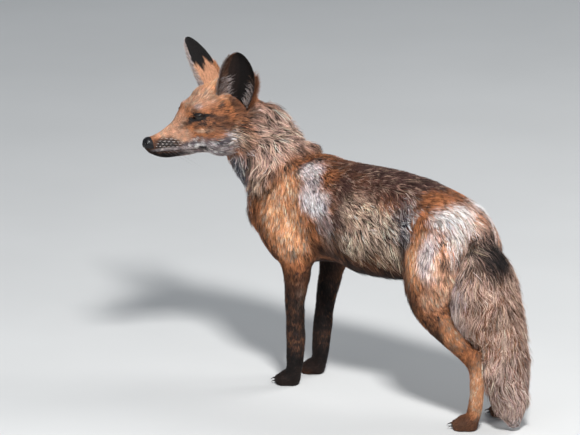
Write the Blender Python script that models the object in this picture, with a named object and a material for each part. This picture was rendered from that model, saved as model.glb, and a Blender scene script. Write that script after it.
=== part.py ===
"""A red fox in late spring moult, standing still and looking to its left, at life size.

The fox faces -Y, its left side is +X and it stands on the plane Z = 0. The outline is that of
the coat, out to its tips. Sections are ellipses lofted along the trunk, neck, head, tail and
legs. They are fused into a few smooth shapes, and those shapes are parted by thin cuts into
the pieces that a person would name.
"""
import math

import bmesh
import bpy
import numpy as np
from mathutils import Matrix, Vector

SIDEWAYS = Vector((1.0, 0.0, 0.0))
BACKWARD = Vector((0.0, 1.0, 0.0))
UP = Vector((0.0, 0.0, 1.0))
WORLD = (SIDEWAYS, BACKWARD, UP)

WHOLE_VOXEL = 0.0030      # cell in which the lofted shapes are fused
WHOLE_SMOOTHING = 7
TAIL_VOXEL = 0.0040
PAW_VOXEL = 0.0021
SMALL_SMOOTHING = 3       # rounds of smoothing for the tail and the paws
BODY_TRIANGLES = 2400
HEAD_TRIANGLES = 2150
TAIL_TRIANGLES = 380
PAW_TRIANGLES = 220
PIECE_SHARE = 0.62        # triangles kept in the pieces that only flat cuts bound
FLAT_CUT = ("head", "lower_jaw", "neck", "tail_middle", "tail_tip", "forearm_left",
            "forearm_right", "shank_left", "shank_right")
SHARP_ANGLE = math.radians(50.0)
WELD = 0.00002            # corners closer than this are one
GAP = 0.0003              # clearance left between neighbouring pieces
TAIL_ROOM = 0.0007        # room left round the legs for the lightened tail
RING_SIDES = 20           # points round each lofted section
SPAN_STEPS = 5            # lofted sections between two named stations
ROOMY = 0.30              # a size wider than any part of the animal, for cutters

# Stance: the fore feet stand at Y = 0, below the shoulders.
FORE_TRACK = 0.037        # sideways distance of a fore foot from the middle plane
FORE_STEP = 0.010         # how far the right fore foot stands ahead of the left
HIND_TRACK = 0.047
FORE_PAW_REACH = -0.012   # Y of the middle of a fore paw
HIND_PAW_REACH = 0.352

# Trunk stations: Y, height of the back, height of the underside, half width.
TRUNK = (
    (-0.104, 0.298, 0.236, 0.028),   # point of the chest
    (-0.085, 0.325, 0.216, 0.048),
    (-0.045, 0.358, 0.202, 0.064),   # shoulders
    (0.010, 0.376, 0.196, 0.069),    # withers
    (0.070, 0.370, 0.198, 0.073),
    (0.130, 0.371, 0.198, 0.074),    # ribs
    (0.190, 0.370, 0.201, 0.068),
    (0.240, 0.365, 0.208, 0.063),    # loins
    (0.285, 0.355, 0.226, 0.062),    # hips
    (0.320, 0.340, 0.244, 0.050),
    (0.342, 0.318, 0.266, 0.026),    # buttocks
)

# Leg stations: sideways place, Y, Z, half width, half depth front to back.
FORE_LEG = (
    (0.036, 0.012, 0.320, 0.026, 0.040),                # shoulder blade
    (0.048, -0.022, 0.268, 0.030, 0.044),               # shoulder
    (0.050, 0.014, 0.222, 0.026, 0.040),                # elbow
    (0.046, 0.013, 0.180, 0.021, 0.0265),
    (0.042, 0.005, 0.135, 0.0170, 0.0200),              # forearm
    (FORE_TRACK, 0.001, 0.075, 0.0150, 0.0172),         # wrist
    (FORE_TRACK, -0.001, 0.040, 0.0140, 0.0155),
    (FORE_TRACK, -0.004, 0.014, 0.0120, 0.0125),
)
HIND_LEG = (
    (0.034, 0.286, 0.312, 0.026, 0.036),                # hip
    (0.044, 0.286, 0.268, 0.034, 0.055),                # thigh
    (0.052, 0.281, 0.215, 0.029, 0.046),
    (0.052, 0.288, 0.176, 0.023, 0.031),                # knee
    (0.050, 0.318, 0.147, 0.0175, 0.0220),              # shank
    (0.048, 0.352, 0.122, 0.0140, 0.0175),
    (HIND_TRACK, 0.369, 0.103, 0.0120, 0.0155),         # hock
    (HIND_TRACK, 0.371, 0.065, 0.0112, 0.0130),
    (HIND_TRACK, 0.367, 0.035, 0.0115, 0.0130),
    (HIND_TRACK, 0.360, 0.014, 0.0110, 0.0120),
)
HOCK_STATION = 6          # place of the hock in the hind leg stations
HEEL_LIFT = 0.012         # height of the middle of the heel over the hock
HEEL_BACK = 0.0048        # and how far it lies behind it
HEEL_SIZE = (0.0085, 0.0105, 0.0200)

# Paws: half width, half length and height of the pad, and the toes in front of it.
PAW_HALF_WIDTH = 0.0165
PAW_HALF_LENGTH = 0.0200
PAW_HEIGHT = 0.0150
PAW_MIDDLE = 0.0105       # height of the middle of the pad
TOE_HALF_WIDTH = 0.0062
TOE_HALF_LENGTH = 0.0125
TOE_HEIGHT = 0.0095
TOE_MIDDLE = 0.00684      # height of the middle of a toe
TOE_PLACES = ((-1.5, -0.006), (-0.5, -0.016), (0.5, -0.016), (1.5, -0.006))
TOE_PITCH = 0.0095
CLAW_LENGTH = 0.0095
CLAW_RADIUS = 0.0016
CLAW_POINT = 0.0004       # radius at the blunt point
CLAW_TILT = math.radians(105.0)
CLAW_PLACE = Vector((0.0, -0.0137, -0.0012))      # from the middle of the toe
CLAW_SIDES = 6
PAW_CUT_HEIGHT = 0.029

# Tail stations: X, Y, Z, half width, half depth.
TAIL = (
    (0.000, 0.296, 0.316, 0.020, 0.020),     # root, inside the rump
    (0.000, 0.326, 0.304, 0.025, 0.024),
    (0.000, 0.346, 0.270, 0.038, 0.034),
    (0.000, 0.358, 0.228, 0.051, 0.044),
    (0.000, 0.366, 0.182, 0.055, 0.053),     # fullest
    (0.000, 0.380, 0.132, 0.052, 0.050),
    (0.000, 0.399, 0.085, 0.040, 0.038),
    (0.000, 0.410, 0.045, 0.029, 0.028),
    (0.000, 0.417, 0.016, 0.015, 0.015),
    (0.000, 0.419, 0.004, 0.006, 0.006),     # tip
)

# Neck stations: X, Y, Z, half width, half depth.
NECK_ACROSS = Vector((0.90, 0.45, 0.0))  # sideways direction of its sections, turning with the head
NECK = (
    (0.000, 0.010, 0.295, 0.066, 0.067),
    (0.002, -0.034, 0.322, 0.060, 0.067),
    (0.010, -0.067, 0.362, 0.054, 0.066),
    (0.026, -0.095, 0.397, 0.050, 0.058),
    (0.048, -0.112, 0.422, 0.045, 0.046),
)

# Head: place of the nose tip, and the heading of the muzzle, turned to the fox's left.
NOSE_TIP = Vector((0.1966, -0.1759, 0.3976))
HEAD_TURN = math.radians(72.0)
FORWARD = Vector((math.sin(HEAD_TURN), -math.cos(HEAD_TURN), 0.0))
LEFT = Vector((math.cos(HEAD_TURN), math.sin(HEAD_TURN), 0.0))
HEAD_AXES = (FORWARD, LEFT, UP)

# Head stations: distance behind the nose tip, top, bottom, half width, and how much
# narrower the section is above than below. Heights are from the nose tip.
HEAD = (
    (0.0010, 0.0070, -0.0075, 0.0068, 0.00),   # nose pad
    (0.0065, 0.0095, -0.0125, 0.0105, 0.05),
    (0.0165, 0.0100, -0.0205, 0.0140, 0.15),   # whisker pads
    (0.0355, 0.0140, -0.0290, 0.0180, 0.22),
    (0.0540, 0.0215, -0.0305, 0.0218, 0.26),   # muzzle
    (0.0700, 0.0310, -0.0315, 0.0280, 0.24),
    (0.0850, 0.0450, -0.0325, 0.0375, 0.20),   # eyes
    (0.1040, 0.0610, -0.0335, 0.0455, 0.16),   # brow
    (0.1240, 0.0735, -0.0345, 0.0505, 0.12),
    (0.1450, 0.0780, -0.0370, 0.0520, 0.10),   # crown
    (0.1660, 0.0710, -0.0400, 0.0510, 0.06),
    (0.1870, 0.0540, -0.0420, 0.0440, 0.00),
    (0.2000, 0.0320, -0.0300, 0.0260, 0.00),
)
CHEEK = (0.128, 0.0300, -0.0020)                 # behind the nose tip, sideways, up
CHEEK_SIZE = (0.042, 0.0265, 0.0300)
BROW = (0.0940, 0.0185, 0.0470)
BROW_SIZE = (0.016, 0.0095, 0.0070)
WHISKER_PAD = (0.0270, 0.0105, -0.0090)
WHISKER_PAD_SIZE = (0.017, 0.0075, 0.0105)

EYE = (0.0880, 0.0232, 0.0355)
EYE_RADIUS = 0.0092

NOSE_LENGTH = 0.0120
NOSE_UNDER = -0.0085      # height of the underside of the nose pad
CLEAR = 0.0100            # how far a cutter reaches past the front of the face
NOSE_CUTTER = (NOSE_LENGTH + 2 * CLEAR, 0.060, 0.040)
MOUTH_FRONT = -0.0140                          # height of the mouth line at the front
MOUTH_CORNER = (0.090, -0.0150)                # behind the nose tip, up
JAW_END = 0.102
JAW_CUTTER = (JAW_END + 2 * CLEAR, 0.140, 0.060)

# Ears: middle of the base, tip, half width, depth of the cup, and where the opening looks.
EAR_BASE = (0.1450, 0.0300, 0.0400)
EAR_SHIFT = {1: 0.0, -1: 0.0060}                # how much further back its base lies
EAR_TIP = (0.1320, 0.0670, 0.1410)
EAR_SWING = {1: -0.0010, -1: -0.0130}          # the left ear is laid back, the right one forward
EAR_HALF_WIDTH = 0.0340
EAR_BOW = 0.0040                                # how far the middle of the ear bends back
EAR_CUP = 0.0190
EAR_LEAST_CUP = 0.0015
EAR_CUP_SHARPNESS = 2.2                         # how flat the bottom of the cup is across
EAR_TIP_HALF_WIDTH = 0.0020
EAR_BASE_SHARE, EAR_SWELL, EAR_TAPER = 0.62, 0.95, 0.60    # width up the ear: base, gain, loss
EAR_TIP_ROUND = 0.62                            # how round the tip is
EAR_CROWDING = 1.5                              # how much closer the rows lie towards the tip
EAR_THICKNESS = 0.0042
EAR_RIM_SHARE = 0.6                             # share of the thickness lost at the rim
EAR_TIP_SHARE = 0.45                            # and at the tip
EAR_TURN = {1: math.radians(58.0), -1: math.radians(71.0)}
EAR_ROWS = 9
EAR_COLUMNS = 8

# Cuts between the lengths of the tail, along the trunk and at the joints of the legs.
TAIL_TOP = 0.400
TAIL_CUTS = (0.215, 0.110)
TRUNK_CUTS = (0.095, 0.235)
NECK_CUT = Vector((0.004, -0.052, 0.330))
NECK_CUT_TILT = math.radians(52.0)
HEAD_CUT = (0.158, 0.0, -0.010)      # behind the nose tip, sideways, up: behind the ears
HEAD_CUT_TILT = math.radians(-30.0)

# Lower pieces of the legs, in the order they are parted: colour, middle in Y, depth, top.
LOWER_LEG = (
    ("forearm", "stocking", 0.030, 0.160, 0.178),
    ("metatarsus", "rust", 0.370, 0.160, 0.098),
    ("shank", "rust", 0.330, 0.200, 0.172),
)
LOWER_LEG_WIDTH = 0.196
LOWER_LEG_MIDDLE = 0.100
# Upper pieces, each under a round-topped cut: middle in Y, its radius, height of its centre.
UPPER_LEG = (
    ("upper_arm", 0.008, 0.062, 0.244),
    ("thigh", 0.287, 0.068, 0.262),
)
DRUM_INSIDE = 0.026                  # sideways distance at which the upper leg starts
DRUM_OUTSIDE = 0.140
DRUM_FOOT = 0.100
DRUM_STEPS = 18

COLOURS = {
    "rust": (0.42, 0.17, 0.055, 0.85),
    "saddle": (0.17, 0.115, 0.085, 0.85),
    "buff": (0.44, 0.30, 0.19, 0.85),
    "stocking": (0.045, 0.032, 0.027, 0.80),
    "pale": (0.62, 0.56, 0.50, 0.85),
    "nose": (0.012, 0.011, 0.011, 0.35),
    "eye": (0.16, 0.075, 0.018, 0.08),
}


def clear_scene():
    for item in list(bpy.data.objects):
        bpy.data.objects.remove(item, do_unlink=True)


def material(name):
    """A plain Principled material in one of the named coat colours."""
    found = bpy.data.materials.get(name)
    if found:
        return found
    made = bpy.data.materials.new(name)
    made.use_nodes = True
    shader = made.node_tree.nodes["Principled BSDF"]
    red, green, blue, rough = COLOURS[name]
    shader.inputs["Base Color"].default_value = (red, green, blue, 1.0)
    shader.inputs["Roughness"].default_value = rough
    shader.inputs["Metallic"].default_value = 0.0
    return made


def new_object(name, mesh):
    item = bpy.data.objects.new(name, mesh)
    bpy.context.scene.collection.objects.link(item)
    return item


def from_lists(name, points, faces):
    mesh = bpy.data.meshes.new(name)
    mesh.from_pydata([tuple(point) for point in points], [], faces)
    mesh.validate()
    shell = bmesh.new()
    shell.from_mesh(mesh)
    bmesh.ops.recalc_face_normals(shell, faces=shell.faces)
    shell.to_mesh(mesh)
    shell.free()
    return new_object(name, mesh)


def head_point(behind, sideways, up):
    """A place on the head, from the nose tip."""
    return NOSE_TIP - FORWARD * behind + LEFT * sideways + UP * up


def smooth_rows(rows):
    """Rows on a Catmull-Rom curve through the named stations."""
    fixed = np.array(rows, dtype=float)
    padded = np.vstack((2 * fixed[0] - fixed[1], fixed, 2 * fixed[-1] - fixed[-2]))
    dense = []
    for index in range(len(fixed) - 1):
        before, start, end, after = padded[index:index + 4]
        for step in range(SPAN_STEPS):
            t = step / SPAN_STEPS
            curve = 2 * start + (end - before) * t
            curve = curve + (2 * before - 5 * start + 4 * end - after) * t ** 2
            curve = curve + (3 * start - before - 3 * end + after) * t ** 3
            dense.append(curve / 2)
    dense.append(fixed[-1])
    return np.array(dense)


def loft(name, rows, side):
    """A closed tube of elliptical sections: centre, half width, half depth, taper above."""
    points = []
    faces = []
    centres = rows[:, :3]
    for index, row in enumerate(rows):
        ahead = centres[min(index + 1, len(rows) - 1)] - centres[max(index - 1, 0)]
        along = Vector(ahead).normalized()
        across = (side - along * side.dot(along)).normalized()
        over = across.cross(along)
        centre = Vector(row[:3])
        for corner in range(RING_SIDES):
            angle = 2 * math.pi * corner / RING_SIDES
            width = row[3] * math.sin(angle) * (1 - row[5] * math.cos(angle))
            points.append(centre + across * width + over * row[4] * math.cos(angle))
    for index in range(len(rows) - 1):
        for corner in range(RING_SIDES):
            low = index * RING_SIDES
            after = (corner + 1) % RING_SIDES
            high = low + RING_SIDES
            faces.append((low + corner, low + after, high + after, high + corner))
    faces.append(tuple(range(RING_SIDES)))
    last = (len(rows) - 1) * RING_SIDES
    faces.append(tuple(range(last, last + RING_SIDES)))
    return from_lists(name, points, faces)


def ellipsoid(name, centre, axes, sizes, subdivisions=3):
    """A ball stretched along three axes."""
    shell = bmesh.new()
    bmesh.ops.create_icosphere(shell, subdivisions=subdivisions, radius=1.0)
    for vertex in shell.verts:
        local = vertex.co.copy()
        place = Vector(centre)
        for axis, size, amount in zip(axes, sizes, local):
            place = place + axis * size * amount
        vertex.co = place
    bmesh.ops.recalc_face_normals(shell, faces=shell.faces)
    mesh = bpy.data.meshes.new(name)
    shell.to_mesh(mesh)
    shell.free()
    return new_object(name, mesh)


def head_ball(name, place, sizes, side, subdivisions=3):
    centre = head_point(place[0], side * place[1], place[2])
    return ellipsoid(name, centre, (FORWARD, LEFT, UP), sizes, subdivisions)


def box(name, centre, sizes, axes=WORLD):
    """A cutter: full sizes along three axes."""
    halves = [axis * size / 2 for axis, size in zip(axes, sizes)]
    points = []
    for i in (-1, 1):
        for j in (-1, 1):
            for k in (-1, 1):
                points.append(Vector(centre) + halves[0] * i + halves[1] * j + halves[2] * k)
    faces = [(0, 1, 3, 2), (4, 6, 7, 5), (0, 4, 5, 1), (2, 3, 7, 6), (0, 2, 6, 4), (1, 5, 7, 3)]
    return from_lists(name, points, faces)


def settle(item):
    """Replaces an object's mesh by what its modifiers make of it."""
    graph = bpy.context.evaluated_depsgraph_get()
    made = bpy.data.meshes.new_from_object(item.evaluated_get(graph))
    item.modifiers.clear()
    old = item.data
    item.data = made
    bpy.data.meshes.remove(old)


def discard(item):
    mesh = item.data
    bpy.data.objects.remove(item, do_unlink=True)
    bpy.data.meshes.remove(mesh)


def fuse(name, items, voxel, smoothing):
    """Joins overlapping closed shapes into one smooth skin."""
    shell = bmesh.new()
    for item in items:
        shell.from_mesh(item.data)
        discard(item)
    mesh = bpy.data.meshes.new(name)
    shell.to_mesh(mesh)
    shell.free()
    fused = new_object(name, mesh)
    remesh = fused.modifiers.new("fuse", "REMESH")
    remesh.mode = "VOXEL"
    remesh.voxel_size = voxel
    settle(fused)
    soften = fused.modifiers.new("soften", "SMOOTH")
    soften.factor = 0.5
    soften.iterations = smoothing
    settle(fused)
    return fused


def triangle_count(mesh):
    mesh.calc_loop_triangles()
    return len(mesh.loop_triangles)


def is_closed(mesh):
    """True where every edge joins exactly two faces and every corner has one ring of faces."""
    shell = bmesh.new()
    shell.from_mesh(mesh)
    closed = all(edge.is_manifold for edge in shell.edges)
    closed = closed and all(vertex.is_manifold for vertex in shell.verts)
    shell.free()
    return closed


def mend(mesh):
    """Welds corners that a cut left in one place, drops faces without area and triangulates."""
    shell = bmesh.new()
    shell.from_mesh(mesh)
    bmesh.ops.triangulate(shell, faces=shell.faces)
    bmesh.ops.remove_doubles(shell, verts=shell.verts, dist=WELD)
    bmesh.ops.dissolve_degenerate(shell, edges=shell.edges, dist=WELD)
    bmesh.ops.triangulate(shell, faces=shell.faces)
    open_edges = [edge for edge in shell.edges if edge.is_boundary]
    bmesh.ops.holes_fill(shell, edges=open_edges, sides=0)
    bmesh.ops.triangulate(shell, faces=shell.faces)
    shell.to_mesh(mesh)
    shell.free()


def lighten(item, triangles):
    """Collapses short edges to about the asked number of triangles, if it can stay closed."""
    kept = item.data.copy()
    thin = item.modifiers.new("thin", "DECIMATE")
    thin.ratio = min(1.0, triangles / triangle_count(item.data))
    settle(item)
    if is_closed(item.data):
        bpy.data.meshes.remove(kept)
    else:
        lighter = item.data
        item.data = kept
        bpy.data.meshes.remove(lighter)


def boolean(item, cutter, operation):
    step = item.modifiers.new("cut", "BOOLEAN")
    step.operation = operation
    step.solver = "EXACT"
    step.object = cutter
    settle(item)


def grown(item, amount):
    """A copy pushed out along its normals."""
    copy = new_object(item.name + "_grown", item.data.copy())
    places = [vertex.co + vertex.normal * amount for vertex in copy.data.vertices]
    for vertex, place in zip(copy.data.vertices, places):
        vertex.co = place
    return copy


def drop_crumbs(item):
    """Keeps the largest body where a cut leaves slivers beside it."""
    shell = bmesh.new()
    shell.from_mesh(item.data)
    left = set(shell.verts)
    groups = []
    while left:
        group = set()
        edge = [next(iter(left))]
        while edge:
            vertex = edge.pop()
            if vertex in group:
                continue
            group.add(vertex)
            edge.extend(link.other_vert(vertex) for link in vertex.link_edges)
        left -= group
        groups.append(group)
    largest = max(groups, key=len)
    crumbs = [vertex for vertex in shell.verts if vertex not in largest]
    bmesh.ops.delete(shell, geom=crumbs, context="VERTS")
    shell.to_mesh(item.data)
    shell.free()


def split(name, whole, inner, outer):
    """Parts from a whole shape what lies in one cutter, and clears a wider one round it."""
    piece = new_object(name, whole.data.copy())
    boolean(piece, inner, "INTERSECT")
    boolean(whole, outer, "DIFFERENCE")
    discard(inner)
    discard(outer)
    return piece


def split_box(name, whole, centre, sizes, axes=WORLD):
    wider = [size + 2 * GAP for size in sizes]
    return split(name, whole, box("inner", centre, sizes, axes), box("outer", centre, wider, axes))


def take(name, whole, colour, centre, sizes, axes=WORLD):
    """One finished piece: what lies in a box, less a thin gap round the box."""
    finish_piece(split_box(name, whole, centre, sizes, axes), colour)


def cut_away(item, cutter):
    boolean(item, cutter, "DIFFERENCE")
    discard(cutter)


def finish_piece(piece, colour):
    mend(piece.data)
    drop_crumbs(piece)
    if piece.name in FLAT_CUT:
        lighten(piece, PIECE_SHARE * triangle_count(piece.data))
    piece.data.materials.clear()
    piece.data.materials.append(material(colour))
    piece.data.shade_smooth()
    piece.data.set_sharp_from_angle(angle=SHARP_ANGLE)


def fore_rows(side):
    """Fore leg stations of one side, with the right leg a short step ahead towards its foot."""
    rows = []
    highest = FORE_LEG[0][2]
    for sideways, y, z, half_width, half_depth in FORE_LEG:
        step = FORE_STEP * (1 - z / highest) if side < 0 else 0.0
        rows.append((sideways * side, y - step, z, half_width, half_depth))
    return rows


def hind_rows(side):
    return [(row[0] * side, *row[1:]) for row in HIND_LEG]


def padded(rows):
    """Adds the missing taper value to stations without one."""
    return [tuple(row) + (0.0,) for row in rows]


def trunk_rows():
    rows = []
    for y, top, bottom, half_width in TRUNK:
        rows.append((0.0, y, (top + bottom) / 2, half_width, (top - bottom) / 2, 0.0))
    return smooth_rows(rows)


def head_rows():
    rows = []
    for behind, top, bottom, half_width, taper in HEAD:
        centre = head_point(behind, 0.0, (top + bottom) / 2)
        rows.append((*centre, half_width, (top - bottom) / 2, taper))
    return smooth_rows(rows)


def leg_shape(name, rows):
    return loft(name, smooth_rows(padded(rows)), SIDEWAYS)


def heel_shape(name, side):
    """The point of the hock, behind the lower end of the shank."""
    sideways, y, z = HIND_LEG[HOCK_STATION][:3]
    centre = Vector((side * sideways, y + HEEL_BACK, z + HEEL_LIFT))
    return ellipsoid(name, centre, WORLD, HEEL_SIZE)


def whole_shape():
    """Trunk, neck, head and legs as one smooth shape."""
    items = [loft("trunk_loft", trunk_rows(), SIDEWAYS)]
    items.append(loft("neck_loft", smooth_rows(padded(NECK)), NECK_ACROSS))
    items.append(loft("head_loft", head_rows(), LEFT))
    for side in (1, -1):
        items.append(leg_shape("fore_loft", fore_rows(side)))
        items.append(leg_shape("hind_loft", hind_rows(side)))
        items.append(heel_shape("heel", side))
        items.append(head_ball("cheek", CHEEK, CHEEK_SIZE, side))
        items.append(head_ball("brow", BROW, BROW_SIZE, side))
        items.append(head_ball("pad", WHISKER_PAD, WHISKER_PAD_SIZE, side))
    return fuse("whole", items, WHOLE_VOXEL, WHOLE_SMOOTHING)


def tail_shape():
    """The tail on its own, lightened to a share of its triangles."""
    tube = loft("tail_loft", smooth_rows(padded(TAIL)), SIDEWAYS)
    tail = fuse("tail", [tube], TAIL_VOXEL, SMALL_SMOOTHING)
    lighten(tail, TAIL_TRIANGLES)
    return tail


def paw(name, sideways, reach, leg_rows):
    """A paw: the foot of the leg, its pad, four toes with their claws and a flat sole."""
    pad_centre = (sideways, reach, PAW_MIDDLE)
    pad_size = (PAW_HALF_WIDTH, PAW_HALF_LENGTH, PAW_HEIGHT)
    toe_size = (TOE_HALF_WIDTH, TOE_HALF_LENGTH, TOE_HEIGHT)
    items = [leg_shape("foot", leg_rows[-3:]), ellipsoid("pad", pad_centre, WORLD, pad_size)]
    claws = []
    for place, forward in TOE_PLACES:
        centre = Vector((sideways + place * TOE_PITCH, reach + forward, TOE_MIDDLE))
        items.append(ellipsoid("toe", centre, WORLD, toe_size))
        claws.append(claw(centre))
    whole = fuse(name, items, PAW_VOXEL, SMALL_SMOOTHING)
    lighten(whole, PAW_TRIANGLES)
    for piece in claws:
        boolean(whole, piece, "UNION")
        discard(piece)
    slab = (ROOMY, ROOMY, ROOMY)
    cut_away(whole, box("ground", (sideways, reach, -ROOMY / 2), slab))
    cut_away(whole, box("above", (sideways, reach, PAW_CUT_HEIGHT + ROOMY / 2), slab))
    finish_piece(whole, "stocking")


def claw(toe_centre):
    """A short cone that leaves the toe and points forward and down."""
    shell = bmesh.new()
    bmesh.ops.create_cone(shell, cap_ends=True, segments=CLAW_SIDES, radius1=CLAW_RADIUS,
                          radius2=CLAW_POINT, depth=CLAW_LENGTH)
    placed = Matrix.Translation(toe_centre + CLAW_PLACE) @ Matrix.Rotation(CLAW_TILT, 4, "X")
    bmesh.ops.transform(shell, matrix=placed, verts=shell.verts)
    mesh = bpy.data.meshes.new("claw")
    shell.to_mesh(mesh)
    shell.free()
    return new_object("claw", mesh)


def ear_profile(t):
    """Half width of the ear at a share of its height, from the base to its rounded tip."""
    share = EAR_BASE_SHARE + EAR_SWELL * t - EAR_TAPER * t ** 2
    return EAR_HALF_WIDTH * share * (1 - t ** 2) ** EAR_TIP_ROUND


def ear(name, side):
    """A thin curved cup with its opening turned outwards, trimmed where it meets the head."""
    base = head_point(EAR_BASE[0] + EAR_SHIFT[side], side * EAR_BASE[1], EAR_BASE[2])
    tip = head_point(EAR_TIP[0] + EAR_SWING[side], side * EAR_TIP[1], EAR_TIP[2])
    along = (tip - base).normalized()
    facing = FORWARD * math.cos(EAR_TURN[side]) + LEFT * side * math.sin(EAR_TURN[side])
    facing = (facing - along * facing.dot(along)).normalized()
    across = along.cross(facing)
    height = (tip - base).length
    points = []
    for layer in (0, 1):
        for row in range(EAR_ROWS):
            t = 1 - (1 - row / (EAR_ROWS - 1)) ** EAR_CROWDING
            width = max(ear_profile(t), EAR_TIP_HALF_WIDTH)
            cup = EAR_CUP * (1 - t) ** 0.8 + EAR_LEAST_CUP
            for column in range(EAR_COLUMNS):
                s = 2 * column / (EAR_COLUMNS - 1) - 1
                rim = 1 - EAR_RIM_SHARE * s ** 4
                wall = EAR_THICKNESS * rim * (1 - EAR_TIP_SHARE * t)
                depth = -cup * (1 - abs(s) ** EAR_CUP_SHARPNESS) + layer * wall
                spread = width * math.sin(s * math.pi / 2)
                bow = -FORWARD * EAR_BOW * math.sin(math.pi * t)
                points.append(base + along * height * t + bow + across * spread + facing * depth)
    faces = []
    layer_size = EAR_ROWS * EAR_COLUMNS
    for row in range(EAR_ROWS - 1):
        for column in range(EAR_COLUMNS - 1):
            corner = row * EAR_COLUMNS + column
            quad = (corner, corner + 1, corner + EAR_COLUMNS + 1, corner + EAR_COLUMNS)
            faces.append(quad)
            faces.append(tuple(layer_size + index for index in reversed(quad)))
    top_row = (EAR_ROWS - 1) * EAR_COLUMNS
    rim_loop = list(range(EAR_COLUMNS))
    rim_loop += [row * EAR_COLUMNS + EAR_COLUMNS - 1 for row in range(1, EAR_ROWS)]
    rim_loop += [top_row + column for column in range(EAR_COLUMNS - 2, -1, -1)]
    rim_loop += [row * EAR_COLUMNS for row in range(EAR_ROWS - 2, 0, -1)]
    for index, corner in enumerate(rim_loop):
        after = rim_loop[(index + 1) % len(rim_loop)]
        faces.append((after, corner, corner + layer_size, after + layer_size))
    return from_lists(name, points, faces)


def part_head(whole):
    """Splits off the head on a plane square to the neck, and lightens both shapes."""
    tilt = Matrix.Rotation(HEAD_CUT_TILT, 3, LEFT)
    tilted = tuple(tilt @ axis for axis in HEAD_AXES)
    reach = HEAD_CUT[0] + 5 * CLEAR
    centre = head_point(*HEAD_CUT) + tilted[0] * reach / 2
    head = split_box("head", whole, centre, (reach, ROOMY, ROOMY), tilted)
    for piece, triangles in ((head, HEAD_TRIANGLES), (whole, BODY_TRIANGLES)):
        mend(piece.data)
        drop_crumbs(piece)
        lighten(piece, triangles)
    return head


def build_head(head):
    """Parts the nose, jaw, eyes and ears from the head."""
    for name, side in (("eye_left", 1), ("eye_right", -1)):
        eye = head_ball(name, EYE, (EYE_RADIUS,) * 3, side, 2)
        cut_away(head, head_ball("eye_room", EYE, (EYE_RADIUS + GAP,) * 3, side, 2))
        finish_piece(eye, "eye")
    drop_crumbs(head)
    nose_centre = head_point(NOSE_LENGTH / 2 - CLEAR / 2, 0.0, NOSE_UNDER + NOSE_CUTTER[2] / 2)
    take("nose", head, "nose", nose_centre, NOSE_CUTTER, HEAD_AXES)
    fall = MOUTH_CORNER[1] - MOUTH_FRONT
    slope = Matrix.Rotation(-math.atan2(fall, MOUTH_CORNER[0]), 3, LEFT)
    sloped = tuple(slope @ axis for axis in HEAD_AXES)
    jaw_front = head_point(0.0, 0.0, MOUTH_FRONT)
    jaw_centre = jaw_front - sloped[0] * (JAW_END / 2 - CLEAR) - sloped[2] * JAW_CUTTER[2] / 2
    take("lower_jaw", head, "pale", jaw_centre, JAW_CUTTER, sloped)
    ear_room = grown(head, GAP)
    for name, side in (("ear_left", 1), ("ear_right", -1)):
        piece = ear(name, side)
        boolean(piece, ear_room, "DIFFERENCE")
        finish_piece(piece, "stocking")
    discard(ear_room)
    finish_piece(head, "rust")


def build_legs(body):
    """Parts each leg from the body, from its foot upwards."""
    for label, side in (("left", 1), ("right", -1)):
        reach = FORE_PAW_REACH - (FORE_STEP if side < 0 else 0.0)
        paw("forepaw_" + label, side * FORE_TRACK, reach, fore_rows(side))
        paw("hindpaw_" + label, side * HIND_TRACK, HIND_PAW_REACH, hind_rows(side))
    room_size = (2 * ROOMY, 4 * ROOMY, ROOMY)
    cut_away(body, box("paw_room", (0.0, 0.0, PAW_CUT_HEIGHT + GAP - ROOMY / 2), room_size))
    for label, side in (("left", 1), ("right", -1)):
        for name, colour, y, depth, top in LOWER_LEG:
            centre = (side * LOWER_LEG_MIDDLE, y, (PAW_CUT_HEIGHT + top) / 2)
            sizes = (LOWER_LEG_WIDTH, depth, top - PAW_CUT_HEIGHT)
            take(name + "_" + label, body, colour, centre, sizes)
        for name, y, radius, z in UPPER_LEG:
            inner = drum(side, y, z, radius, DRUM_INSIDE)
            outer = drum(side, y, z, radius + GAP, DRUM_INSIDE - GAP)
            finish_piece(split(name + "_" + label, body, inner, outer), "rust")


def drum(side, y, z, radius, inside):
    """A cutter: a half disc over a block that runs down, extruded sideways from the trunk."""
    outline = []
    for step in range(DRUM_STEPS + 1):
        angle = math.pi * step / DRUM_STEPS
        outline.append((y + radius * math.cos(angle), z + radius * math.sin(angle)))
    outline += [(y - radius, DRUM_FOOT), (y + radius, DRUM_FOOT)]
    count = len(outline)
    points = [Vector((side * inside, a, b)) for a, b in outline]
    points += [Vector((side * DRUM_OUTSIDE, a, b)) for a, b in outline]
    faces = [tuple(range(count)), tuple(range(2 * count - 1, count - 1, -1))]
    for index in range(count):
        after = (index + 1) % count
        faces.append((index, after, after + count, index + count))
    return from_lists("drum", points, faces)


def trimmed_tail(body):
    """The tail, hollowed where the rump and the hind legs press into its fur."""
    tail = tail_shape()
    cut_away(tail, grown(body, TAIL_ROOM))
    mend(tail.data)
    drop_crumbs(tail)
    return tail


def build_tail(tail):
    """Parts the tail at two heights."""
    top = TAIL_TOP
    for name, cut in zip(("tail_base", "tail_middle"), TAIL_CUTS):
        take(name, tail, "buff", (0.0, TAIL_TOP, (top + cut) / 2), (ROOMY, ROOMY, top - cut))
        top = cut - GAP
    tail.name = "tail_tip"
    finish_piece(tail, "pale")


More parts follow.
